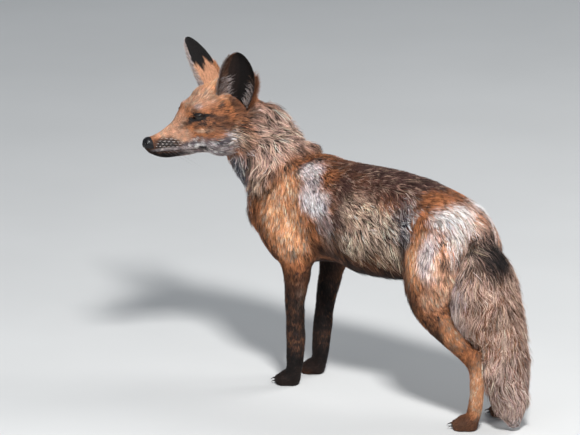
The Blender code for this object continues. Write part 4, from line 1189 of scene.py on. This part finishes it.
def build_ear_coat(ears, rng):
    """Velvet behind the ears, thin dark fur within and fringes along the rims."""
    rings, normals, widths, tones, spread = [], [], [], [], []
    for number, ear in enumerate(ears):
        sets = [(face, velvet(ear, face, count, rng)) for face, count in VELVET]
        sets += [(face, fringe(ear, face, *rest, rng)) for face, *rest in EAR_FRINGES]
        for face, (s, t, tone, (length, height, width), lean) in sets:
            places, ways = ear.locks(s, t, face, length, height, lean)
            rings.append(places)
            normals.append(ways)
            widths.append((width, np.zeros(len(width))))
            tones.append(tone)
            column = number * 2 + (face > 0)
            across = (column + EAR_MAP_EDGE + EAR_MAP_HALF * (s + 1)) / (2 * len(ears))
            up = EAR_MAP_FOOT + EAR_MAP_HEIGHT * t
            spread.append(np.stack((across, up), axis=1))
    tones = np.concatenate(tones).clip(DARKEST, EAR_LIGHTEST)
    return build_locks("coat_ears", np.concatenate(rings, axis=1), np.concatenate(widths, axis=1),
                       np.concatenate(normals, axis=1), tones, np.full(len(tones), ROOT_PAINTED_SHADE[0]),
                       np.concatenate(spread), rng)


# ---------------------------------------------------------------- eyes
EYE = (0.0880, 0.0232, 0.0355)
EYE_RADIUS = 0.0092
EYE_LOOK = (-0.56, 0.82, 0.04)     # which way it looks: ahead and to its own side
EYE_SLANT = math.radians(7.0)      # the rear corner is higher
EYE_PROUD = 0.0008                 # how far the ball stands out of the skin
CORNEA_FROM, CORNEA_OVER, CORNEA_RISE = 0.72, 0.28, 0.0006
OPENING = (0.0092, 0.0036)         # half length and half height of the opening
PUPIL = (0.0016, 0.0034)           # half width and half height of the slit
IRIS = 0.0060
# Iris and white are darker than their own tones: painted shade under the brow.
IRIS_TONE, IRIS_EDGE = (0.016, 0.009, 0.005), (0.007, 0.005, 0.004)
EYE_WHITE = (0.020, 0.015, 0.014)
IRIS_RAYS, RAY_LEAST, RAY_RISE = 19.0, 0.75, 0.5
EDGE_FROM, EDGE_OVER, WHITE_OVER = 0.72, 0.2, 0.1  # shares of the iris's radius
SLIT_FROM, SLIT_OVER, SLIT_TONE = 0.9, 0.2, 0.03
RAY_START = 0.030                  # rays at the eye start this far outside
# Rings of the lids: distance outside the opening, and height over the ball and over the skin.
LID_RINGS = ((0.0000, 0.0002, -0.0030), (0.0003, 0.0008, -0.0004), (0.0012, 0.0012, 0.0004),
             (0.0024, 0.0009, 0.0006), (0.0040, 0.0003, 0.0003), (0.0058, -0.0010, -0.0009))
LID_SIDES = 72
FRONT_CORNER, REAR_CORNER = 1.1, 0.9       # how much further the rims reach at the corners
CORNER_POWER, CORNER_DROP = 6, 0.35
LOWER_LID = 0.80                   # bow of the lower lid, as a share of the upper one's
BOW_POWER = 1.25
TEAR_LENGTH, TEAR_DROP = 1.08, 0.0010      # the front corner is drawn out and lower
LID_HOLE = 0.0022                  # the skin is pressed in up to this far outside the opening
LID_SINK = 0.0050
RIM = (0.0165, 0.0140, 0.0046)     # bare rim of the eye: reach to the front, to the rear and up
RIM_SLANT, RIM_POWER = 0.16, 1.4
BARE_MOUTH = 0.55                  # share of the mouth line above which no hair grows
BARE_NOSE = (0.0095, -0.0080)      # half width of the bare leather and its lower edge


class Eye:
    """Where one eye lies: its centre, its outward look, its long axis to the rear, its height."""

    def __init__(self, side):
        self.centre = head_place((EYE[0], side * EYE[1], EYE[2]))
        self.look = unit(head_direction((EYE_LOOK[0], side * EYE_LOOK[1], EYE_LOOK[2])))
        rear = -FORWARD * math.cos(EYE_SLANT) + UP * math.sin(EYE_SLANT)
        self.rear = unit(rear - self.look * (rear @ self.look))
        height = np.cross(self.look, self.rear)
        self.height = height * np.sign(height @ UP)

    def seat(self, surface):
        """Moves the centre so that the ball stands just out of the skin."""
        depth = self.skin_ahead(surface, self.centre + self.look * EYE_RADIUS)
        self.centre = self.centre + self.look * (depth + EYE_PROUD - EYE_RADIUS)

    def skin_ahead(self, surface, place):
        """How far the skin lies along the look from the centre, below a place."""
        start = place + self.look * RAY_START
        hit = surface.tree.ray_cast(Vector(start), Vector(-self.look))[0]
        return (np.array(hit) - self.centre) @ self.look if hit is not None else 0.0

    def across_over(self, points):
        """Distances along the long axis and the height, and whether a place is in front."""
        away = points - self.centre
        return away @ self.rear, away @ self.height, away @ self.look > 0


def build_eye(name, eye):
    """A ball with a slight cornea; iris and slit pupil are painted on it by distance."""
    shell = bmesh.new()
    bmesh.ops.create_icosphere(shell, subdivisions=5, radius=EYE_RADIUS)
    places = np.array([vertex.co for vertex in shell.verts])
    ahead = places @ eye.look
    swell = ramp(ahead / EYE_RADIUS, CORNEA_FROM, CORNEA_OVER)
    places += np.outer(swell * CORNEA_RISE, eye.look)
    for vertex, place in zip(shell.verts, places):
        vertex.co = place + eye.centre
    mesh = bpy.data.meshes.new(name)
    shell.to_mesh(mesh)
    shell.free()
    mesh.shade_smooth()
    across, over = places @ eye.rear, places @ eye.height
    out = np.hypot(across, over)
    slit = np.hypot(across / PUPIL[0], over / PUPIL[1])
    rays = RAY_LEAST + RAY_RISE * abs(np.sin(np.arctan2(over, across) * IRIS_RAYS))
    colour = np.array(IRIS_TONE) * rays[:, None]
    colour += (np.array(IRIS_EDGE) - colour) * ramp(out / IRIS, EDGE_FROM, EDGE_OVER)[:, None]
    colour += (np.array(EYE_WHITE) - colour) * ramp(out / IRIS, 1.0, WHITE_OVER)[:, None]
    colour *= np.clip((slit - SLIT_FROM) / SLIT_OVER, SLIT_TONE, 1)[:, None]
    colour[ahead < 0] = EYE_WHITE
    set_colours(mesh, colour)
    ball = add_object(name, mesh)
    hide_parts(name.replace("eyeball", "eye"))
    return ball


def almond(angle):
    """The opening's outline: pointed at both corners, drawn out and lower in front."""
    long, high = OPENING
    across = long * math.cos(angle) * (TEAR_LENGTH if math.cos(angle) < 0 else 1.0)
    bow = abs(math.sin(angle)) ** BOW_POWER * math.copysign(1, math.sin(angle))
    tear = TEAR_DROP * max(0.0, -math.cos(angle)) ** 3
    return across, high * bow * (1.0 if bow > 0 else LOWER_LID) - tear


def press_in(places, eye):
    """Skin places pressed in where the eye shows."""
    across, over, ahead = eye.across_over(places)
    size = np.hypot(across / OPENING[0], over / OPENING[1])
    outside = (size - 1) * np.hypot(across, over) / np.maximum(size, 0.05)
    share = ((outside < LID_HOLE) & ahead) * 1.0
    return places - np.outer(share * LID_SINK, eye.look)


def build_lids(eye, surface):
    """Both lids of one eye: a ring of skin from the opening out over the face."""
    points = []
    for distance, over_ball, over_skin in LID_RINGS:
        for step in range(LID_SIDES):
            angle = 2 * math.pi * step / LID_SIDES
            across, over = almond(angle)
            lean = math.atan2(math.sin(angle) / OPENING[1], math.cos(angle) / OPENING[0])
            corner = FRONT_CORNER if math.cos(angle) < 0 else REAR_CORNER
            reach = distance * (1 + corner * abs(math.cos(angle)) ** CORNER_POWER)
            across += reach * math.cos(lean)
            over += reach * math.sin(lean)
            over -= reach * CORNER_DROP * max(0.0, -math.cos(angle)) ** CORNER_POWER
            place = eye.centre + eye.rear * across + eye.height * over
            skin = eye.skin_ahead(surface, place + eye.look * EYE_RADIUS) + over_skin
            inside = (EYE_RADIUS + over_ball) ** 2 - across ** 2 - over ** 2
            ball = math.sqrt(inside) if inside > 0 else -1.0
            points.append(place + eye.look * max(ball, skin))
    mesh = mesh_of("lids", points, grid_faces(len(LID_RINGS), LID_SIDES, True))
    face_outward(mesh, eye.look)
    mesh.shade_smooth()
    return add_object("lids", mesh)


def bare_share(points):
    """0 on the eyes' rims, the mouth line and the nose, 1 elsewhere."""
    keep = np.ones(len(points))
    for side in (1, -1):
        across, over, ahead = Eye(side).across_over(points)
        reach = np.where(across < 0, RIM[0], RIM[1])
        over = over + RIM_SLANT * np.clip(-across, 0, 1)
        gap = (abs(across) / reach) ** RIM_POWER + (over / RIM[2]) ** 2
        keep *= ~(ahead & (gap < 1))
    behind, sideways, up = on_head(points).T
    width, low = BARE_NOSE
    keep *= ~((behind < LEATHER_BARE_END) & (abs(sideways) < width) & (up > low))
    return keep * (mouth_share(points) < BARE_MOUTH)


# ---------------------------------------------------------------- nose
NOSE_VOXEL, NOSE_SMOOTHING = 0.0006, 5
NOSTRIL = (0.0032, 0.0044, -0.0010)
NOSTRIL_RADIUS, NOSTRIL_DEPTH, NOSTRIL_FORM = 0.0026, 0.0034, 0.7
NOSTRIL_FLATTENING = 1.3
WING_RISE, WING_WIDTH, WING_RADIUS = 0.0005, 0.0009, 1.25  # the wing round each nostril
GROOVE_DEPTH, GROOVE_WIDTH = 0.0010, 0.0006
GROOVE_TOP, GROOVE_OVER = 0.002, 0.003
LEATHER_NARROWING = 0.98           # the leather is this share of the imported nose's width
LEATHER_SLOPE = 0.010              # how much of its reach it loses above and below mid height
LEATHER_SINK, LEATHER_EDGE = 0.0030, 0.0025        # how deep its rear edge dips below the fur


def build_nose():
    """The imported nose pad, smoothed and narrowed, with nostrils and the groove below them."""
    item = fused(("nose",), "nose_pad", NOSE_VOXEL, NOSE_SMOOTHING)
    places, normals = vertex_places(item.data), vertex_normals(item.data)
    behind, sideways, up = on_head(places).T
    places += np.outer((LEATHER_NARROWING - 1) * sideways, LEFT)
    end = LEATHER_END - LEATHER_SLOPE * np.clip(abs(up) - 0.002, 0, 1)
    past = ramp(behind, end, LEATHER_EDGE)
    places -= normals * (LEATHER_SINK * past * past)[:, None]
    face = on_head(places)
    for side in (1, -1):
        away = face - np.array((NOSTRIL[0], side * NOSTRIL[1], NOSTRIL[2]))
        away[:, 2] *= NOSTRIL_FLATTENING
        away = np.linalg.norm(away, axis=1)
        near = np.clip(1 - away / NOSTRIL_RADIUS, 0, 1)
        wing = np.exp(-((away - NOSTRIL_RADIUS * WING_RADIUS) / WING_WIDTH) ** 2)
        places -= normals * (NOSTRIL_DEPTH * near ** NOSTRIL_FORM)[:, None]
        places += normals * (WING_RISE * wing)[:, None]
    groove = np.exp(-(face[:, 1] / GROOVE_WIDTH) ** 2) * ramp(face[:, 2], GROOVE_TOP, -GROOVE_OVER)
    places -= normals * (GROOVE_DEPTH * groove)[:, None]
    move_vertices(item.data, places)
    item.data.shade_smooth()
    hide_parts("nose")
    return item


# ---------------------------------------------------------------- whiskers and claws
PAD_WHISKERS = 4                   # rows, and whiskers in a row
PAD_START, PAD_STEP, PAD_ROW_STEP = 0.018, 0.0055, 0.001
PAD_TOP, PAD_PITCH = 0.004, 0.0042
PAD_SIDE, PAD_SIDE_STEP = 0.0125, 0.0010
WHISKER_LENGTH, WHISKER_GROWTH = 0.022, 0.007
WHISKER_RADIUS, WHISKER_DROOP = 0.00022, 0.30
WHISKER_BEND = unit(-FORWARD * 0.8 - UP * 0.4)
BROW_WHISKERS, BROW_STEP = 3, 0.004
BROW_PLACE = (0.082, 0.017, 0.047)
BROW_LENGTH, BROW_RADIUS, BROW_DROOP = 0.020, 0.00016, 0.35
# Ways back, aside and up, how they change along a row and down the rows, spread of lengths.
WHISKER_WAY, WHISKER_TURN, WHISKER_DROP = (0.55, 0.75, -0.35), 0.1, 0.12
BROW_WAY, BROW_TURN = (0.25, 0.35, 0.9), 0.2
WHISKER_SPREAD, BROW_SPREAD = (0.8, 1.15), (0.8, 1.1)
SPIKE_TAPER = 0.92
TOES = ((-1.5, -0.006), (-0.5, -0.016), (0.5, -0.016), (1.5, -0.006))  # pitches aside, forward
TOE_PITCH = 0.0095
TOE_REACH = 0.0120                 # from the middle of a toe to the root of its claw
PAW_REACH = {"forepaw": -0.012, "hindpaw": 0.352}
FORE_STEP = 0.010                  # the right fore paw stands this much further forward
CLAW_LENGTH = 0.0076
CLAW_INSET, CLAW_ROOT, CLAW_TIP, CLAW_BEND = 0.003, 0.0072, 0.0018, 0.0018
CLAW_SPREAD = 0.0008
CLAW_RADIUS = 0.0017


def build_spikes(name, paths, radii, sides):
    """Tapered curved spikes, each along its own path of points."""
    points, faces = [], []
    for path, radius in zip(paths, radii):
        start, last = len(points), len(path) - 1
        for ring, place in enumerate(path):
            ahead = unit(path[min(ring + 1, last)] - path[max(ring - 1, 0)])
            first = unit(np.cross(ahead, UP + 0.1 * FORWARD))
            second = np.cross(ahead, first)
            thick = radius * (1 - SPIKE_TAPER * ring / last)
            for corner in range(sides):
                turn = 2 * math.pi * corner / sides
                points.append(place + thick * (first * math.cos(turn) + second * math.sin(turn)))
        faces += grid_faces(last + 1, sides, True, start)
        faces += [tuple(range(end, end + sides)) for end in (start, start + last * sides)]
    mesh = mesh_of(name, points, faces)
    face_outward(mesh)
    mesh.shade_smooth()
    return add_object(name, mesh)


def curved(start, way, length, droop):
    """Six points that leave along one direction and bend back and down."""
    return [start + way * length * s + WHISKER_BEND * length * droop * s * s
            for s in np.linspace(0, 1, 6)]


def whisker_paths(rng):
    """Rows on the pads, a few over the eyes."""
    paths, radii = [], []
    for side in (1, -1):
        for row in range(PAD_WHISKERS):
            for number in range(PAD_WHISKERS):
                start = head_place((PAD_START + PAD_STEP * number + PAD_ROW_STEP * row,
                                    side * (PAD_SIDE + PAD_SIDE_STEP * number),
                                    PAD_TOP - PAD_PITCH * row))
                length = WHISKER_LENGTH + WHISKER_GROWTH * number
                length *= rng.uniform(*WHISKER_SPREAD)
                back, aside, up = WHISKER_WAY
                way = head_direction((back + WHISKER_TURN * number, side * aside,
                                      up - WHISKER_DROP * row))
                paths.append(curved(start, unit(way), length, WHISKER_DROOP))
                radii.append(WHISKER_RADIUS)
        for number in range(BROW_WHISKERS):
            behind, sideways, up = BROW_PLACE
            start = head_place((behind + BROW_STEP * number, side * sideways, up))
            back, aside, up = BROW_WAY
            way = head_direction((back + BROW_TURN * number, side * aside, up))
            length = BROW_LENGTH * rng.uniform(*BROW_SPREAD)
            paths.append(curved(start, unit(way), length, BROW_DROOP))
            radii.append(BROW_RADIUS)
    return paths, radii


def claw_paths():
    """A curve of seven points for each claw, from inside its toe down to the floor."""
    paths = []
    for kind, reach in PAW_REACH.items():
        for label, step in (("left", 0.0), ("right", FORE_STEP if kind == "forepaw" else 0.0)):
            low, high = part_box(kind + "_" + label)
            for aside, forward in TOES:
                y = STANCE[1] + reach - step + forward - TOE_REACH
                x = (low.x + high.x) / 2 + aside * TOE_PITCH
                root = np.array((x, y + CLAW_INSET, CLAW_ROOT))
                tip = np.array((x + aside * CLAW_SPREAD, y - CLAW_LENGTH, CLAW_TIP))
                knuckle = (root + tip) / 2 + CLAW_BEND * UP
                paths.append([root * (1 - s) ** 2 + knuckle * 2 * s * (1 - s) + tip * s * s
                              for s in np.linspace(0, 1, 7)])
    return paths


# ---------------------------------------------------------------- coat pieces
MAP_EDGE, MAP_WIDTH = 0.03, 0.94   # part of a map's width that is used
MAP_FOOT, MAP_TOP, MAP_HEIGHT = 0.005, 0.99, 0.985
HIND_FROM = 0.18                   # limbs behind this are hind legs


def line_unwrap(start, end, zero):
    """Map places: angle round an axis from a zero direction, and distance along it."""
    start, end = np.array(start, float), np.array(end, float)
    axis = unit(end - start)
    first = flat_to(np.array([zero], float), axis[None])[0]
    second = np.cross(axis, first)

    def spread(points):
        away = points - start
        turn = np.arctan2(away @ second, away @ first) / (2 * math.pi) + 0.5
        along = (away @ axis) / np.linalg.norm(end - start)
        return np.stack((MAP_EDGE + MAP_WIDTH * turn, along.clip(MAP_FOOT, MAP_TOP)), axis=1)

    return spread


def limb_unwrap(hind_too):
    """Map places: for each limb a strip, with the angle round its upright axis, and height."""
    def spread(points):
        x, y, _ = (points - STANCE).T
        number = (x < 0) * 1 + (hind_too & (y > HIND_FROM)) * 2
        turn, high = np.zeros(len(points)), np.zeros(len(points))
        for limb in np.unique(number):
            own = number == limb
            away = points[own] - points[own].mean(axis=0)
            turn[own] = np.arctan2(away[:, 1], away[:, 0]) / (2 * math.pi) + 0.5
            low, top = points[own, 2].min(), points[own, 2].max()
            high[own] = (points[own, 2] - low) / (top - low)
        strips = 4 if hind_too else 2
        across = (number + MAP_EDGE + MAP_WIDTH * turn) / strips
        return np.stack((across, MAP_FOOT + MAP_HEIGHT * high), axis=1)

    return spread


def trunk_unwrap(start, end, zero=UP):
    return line_unwrap(body_place(start), body_place(end), zero)


def both_sides(*parts):
    return tuple(part + side for part in parts for side in ("_left", "_right"))


SHORT = 0.0078                     # fur shorter than this is grown as straight small tufts
ANY_LENGTH, SHORT_ONLY, LONG_ONLY = (0.0, 1.0), (0.0, SHORT), (SHORT, 1.0)
HEAD_UNWRAP = line_unwrap(head_place((0.0, 0.0, 0.0)), head_place((0.170, 0.0, 0.025)), UP)
# Name, slot, nodes, locks, segments of a lock, locks to a clump, lengths, unwrap.
COAT_PIECES = (
    ("coat_face", "coat_rust", ("head", "lower_jaw", "nose"), 62000, 1, 4, SHORT_ONLY,
     HEAD_UNWRAP),
    ("coat_cheeks", "coat_rust", ("head", "lower_jaw"), 19000, 2, 6, LONG_ONLY, HEAD_UNWRAP),
    ("coat_neck", "coat_buff", ("neck",), 15000, 3, 9, ANY_LENGTH,
     trunk_unwrap((0.0, -0.02, 0.33), (0.05, -0.10, 0.43), LEFT)),
    ("coat_chest", "coat_rust", ("chest",), 24500, 2, 7, ANY_LENGTH,
     trunk_unwrap((0.0, -0.11, 0.285), (0.0, 0.345, 0.285))),
    ("coat_middle", "coat_saddle", ("back_and_belly",), 27000, 2, 7, ANY_LENGTH,
     trunk_unwrap((0, 0.09, 0.285), (0, 0.24, 0.285))),
    ("coat_rump", "coat_saddle", ("rump", "tail_base"), 16000, 2, 9, ANY_LENGTH,
     trunk_unwrap((0, 0.23, 0.29), (0, 0.35, 0.30))),
    ("coat_upper_arms", "coat_rust", both_sides("upper_arm"), 17000, 2, 6, ANY_LENGTH,
     limb_unwrap(False)),
    ("coat_thighs", "coat_rust", both_sides("thigh"), 22000, 2, 8, ANY_LENGTH, limb_unwrap(False)),
    ("coat_legs", "coat_dark", both_sides("forearm", "shank", "metatarsus", "forepaw", "hindpaw"),
     62000, 1, 4, ANY_LENGTH, limb_unwrap(True)),
)
# Name, lowest and highest root, locks, top and bottom of the unwrap.
TAIL_PIECES = (("coat_tail_upper", 0.17, TAIL_HAIR_TOP, 15500, 0.335, 0.17),
               ("coat_tail_lower", -1.0, 0.17, 12000, 0.17, 0.0))


def nearest_nodes(points, nodes):
    """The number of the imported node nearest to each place."""
    places, corners, owner = [], [], []
    offset = 0
    for number, node in enumerate(nodes):
        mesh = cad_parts[node].data
        places.append(vertex_places(mesh))
        corners.append(triangles_of(mesh) + offset)
        owner += [number] * len(corners[-1])
        offset += len(places[-1])
    tree = BVHTree.FromPolygons(np.vstack(places).tolist(), np.vstack(corners).tolist())
    return np.array(owner)[[tree.find_nearest(point)[2] for point in points.tolist()]]


def build_body_coat(surface, rng):
    """Pairs of a piece of the coat and its slot."""
    grown = BODY_NODES + ("nose",) + TAIL_NODES
    face_owner = nearest_nodes(surface.places, grown)[surface.corners[:, 0]]
    middles = surface.middles
    coat = coat_at(middles, WHOLE_COAT)
    thick = 1 / np.sqrt(coat[:, LENGTH] * coat[:, WIDTH])
    thick *= bare_share(middles) * (middles[:, 2] > SOLE_HAIR_END)
    thick *= (root_share(middles) < 0.5) | (middles[:, 2] > ROOT_HAIR_END)
    pieces = []
    for name, slot, nodes, count, segments, every, (least, most), unwrap in COAT_PIECES:
        weights = thick * np.isin(face_owner, [grown.index(node) for node in nodes])
        weights *= (coat[:, LENGTH] >= least) & (coat[:, LENGTH] < most)
        piece = grow(name, surface, WHOLE_COAT, count, segments, weights, unwrap, every, rng)
        pieces.append((piece, slot))
    return pieces


def build_tail_coat(surface, rng):
    """Pairs of a piece of the coat and its slot."""
    pieces = []
    heights = surface.middles[:, 2]
    for name, low, high, count, top, bottom in TAIL_PIECES:
        weights = ((heights >= low) & (heights < high)).astype(float)
        unwrap = trunk_unwrap((0, 0.33, top), (0, 0.41, bottom), (1.0, 0.0, 0.0))
        piece = grow(name, surface, TAIL_ROWS, count, 3, weights, unwrap, 9, rng, tail=True)
        pieces.append((piece, "coat_buff"))
    return pieces


# ---------------------------------------------------------------- the whole animal
STREAKS = 0.0035                   # size of the streaks of odd hairs on the skin
STREAK_BASE, STREAK_RANGE, STREAK_SEED = 0.5, 0.9, 71
SKIN_PAINTED_SHADE = 0.72                  # painted shade: the skin under the coat darkened to this share of its tone


def colour_skin(item, tail):
    """The coat's own markings on the skin, with odd hairs as fine streaks, in painted shade under
    the coat.
    """
    places = vertex_places(item.data)
    layers = markings(places, tail)
    streak = STREAK_BASE + STREAK_RANGE * ripple(places, STREAKS, STREAK_SEED)
    streak = streak.clip(0, 1) * layers[:, 6]
    colour = layers[:, :3] + (layers[:, 3:6] - layers[:, :3]) * streak[:, None]
    set_colours(item.data, colour * SKIN_PAINTED_SHADE)


def join_into(target, items):
    """Joins objects into one, keeping the target's name."""
    bpy.ops.object.select_all(action="DESELECT")
    for item in (*items, target):
        item.select_set(True)
    bpy.context.view_layer.objects.active = target
    bpy.ops.object.join()


def finish_piece(piece, material):
    piece.data.materials.clear()
    piece.data.materials.append(material)
    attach(piece, "root")


def build_fox():
    rng = np.random.default_rng(20)
    skin = inset_skin("skin", BODY_NODES + FUSED_WITH_BODY, SKIN_VOXEL, WHOLE_COAT, False)
    tail = inset_skin("tail_skin", TAIL_NODES, TAIL_VOXEL, TAIL_ROWS, True)
    surface = Surface(skin.data)
    tail_surface = Surface(tail.data)
    colour_skin(skin, False)
    colour_skin(tail, True)
    ears = [Ear(1), Ear(-1)]
    coat = build_body_coat(surface, rng) + build_tail_coat(tail_surface, rng)
    coat.append((build_ear_coat(ears, rng), "coat_dark"))
    eyes = [Eye(1), Eye(-1)]
    for eye in eyes:
        move_vertices(skin.data, press_in(vertex_places(skin.data), eye))
        eye.seat(surface)
    join_into(skin, [tail] + [ear.skin() for ear in ears])
    skin.data.shade_smooth()
    finish_piece(skin, SKIN)
    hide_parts(*BODY_NODES, *TAIL_NODES, *EAR_NODES)
    for piece, slot in coat:
        finish_piece(piece, HAIR)
    for name, eye in zip(("eyeball_left", "eyeball_right"), eyes):
        finish_piece(build_eye(name, eye), EYE_GLASS)
    lids, far_lids = (build_lids(eye, surface) for eye in eyes)
    join_into(lids, [far_lids])
    lids.name = "eyelids"
    finish_piece(lids, LID)
    finish_piece(build_nose(), LEATHER)
    finish_piece(build_spikes("whiskers", *whisker_paths(rng), 3), WHISKER)
    claws = claw_paths()
    finish_piece(build_spikes("claws", claws, [CLAW_RADIUS] * len(claws), 10), HORN)


# ---------------------------------------------------------------- floor, light and camera
FLOOR_HALF = 30.0
FLOOR_TONES = ((0.66, 0.66, 0.65), (0.72, 0.72, 0.71))
FLOOR_GRAIN, FLOOR_ROUGHNESS = 3.0, (0.75, 0.9)
FLOOR_BUMP = (0.05, 0.001)         # strength and depth
WORLD_COLOUR, WORLD_STRENGTH = (0.78, 0.88, 1.00, 1.0), 0.24
LIGHT_TARGET = (0.0, 0.0, 0.25)
LIGHTS = (("key", (1.9, 2.1, 3.2), 200.0, 0.6),            # name, place, power, size
          ("fill", (3.6, 0.6, 1.9), 16.0, 2.4),
          ("rim", (-2.4, 1.2, 2.8), 45.0, 1.6))
CAMERA_AZIMUTH, CAMERA_RISE = math.radians(130.0), math.radians(15.0)
CAMERA_DISTANCE = 8.0
CAMERA_TARGET = np.array((-0.0033, -0.1124, 0.2790))
FRAME_WIDTH = 0.90625              # width of the view at the target


def place_object(name, data, place, way):
    """Adds an object at a place, looking a given way."""
    item = add_object(name, data)
    item.location = place
    item.rotation_euler = Vector(way).to_track_quat("-Z", "Y").to_euler()
    return item


def build_stage():
    corners = FLOOR_HALF * np.array(((-1, -1, 0), (1, -1, 0), (1, 1, 0), (-1, 1, 0)))
    floor = add_object("floor", mesh_of("floor", corners, [(0, 1, 2, 3)]))
    paint = toned_material("floor_paint", *FLOOR_TONES, FLOOR_GRAIN, FLOOR_ROUGHNESS, *FLOOR_BUMP,
                           specular=0.2)
    floor.data.materials.append(paint)
    world = bpy.data.worlds.new("studio")
    world.use_nodes = True
    background = world.node_tree.nodes["Background"]
    background.inputs["Color"].default_value = WORLD_COLOUR
    background.inputs["Strength"].default_value = WORLD_STRENGTH
    bpy.context.scene.world = world
    for name, place, power, size in LIGHTS:
        light = bpy.data.lights.new(name, "AREA")
        light.energy = power
        light.size = size
        place_object(name, light, place, Vector(LIGHT_TARGET) - Vector(place))
    bpy.context.scene.view_settings.view_transform = "Standard"


def build_camera():
    camera = bpy.data.cameras.new("camera")
    camera.sensor_width = 36.0
    camera.lens = camera.sensor_width * CAMERA_DISTANCE / FRAME_WIDTH
    camera.clip_end = 100.0
    level = math.cos(CAMERA_RISE)
    back = np.array((math.sin(CAMERA_AZIMUTH) * level, -math.cos(CAMERA_AZIMUTH) * level,
                     math.sin(CAMERA_RISE)))
    place = CAMERA_TARGET + back * CAMERA_DISTANCE
    bpy.context.scene.camera = place_object("camera", camera, place, -back)


build_fox()
build_stage()
build_camera()
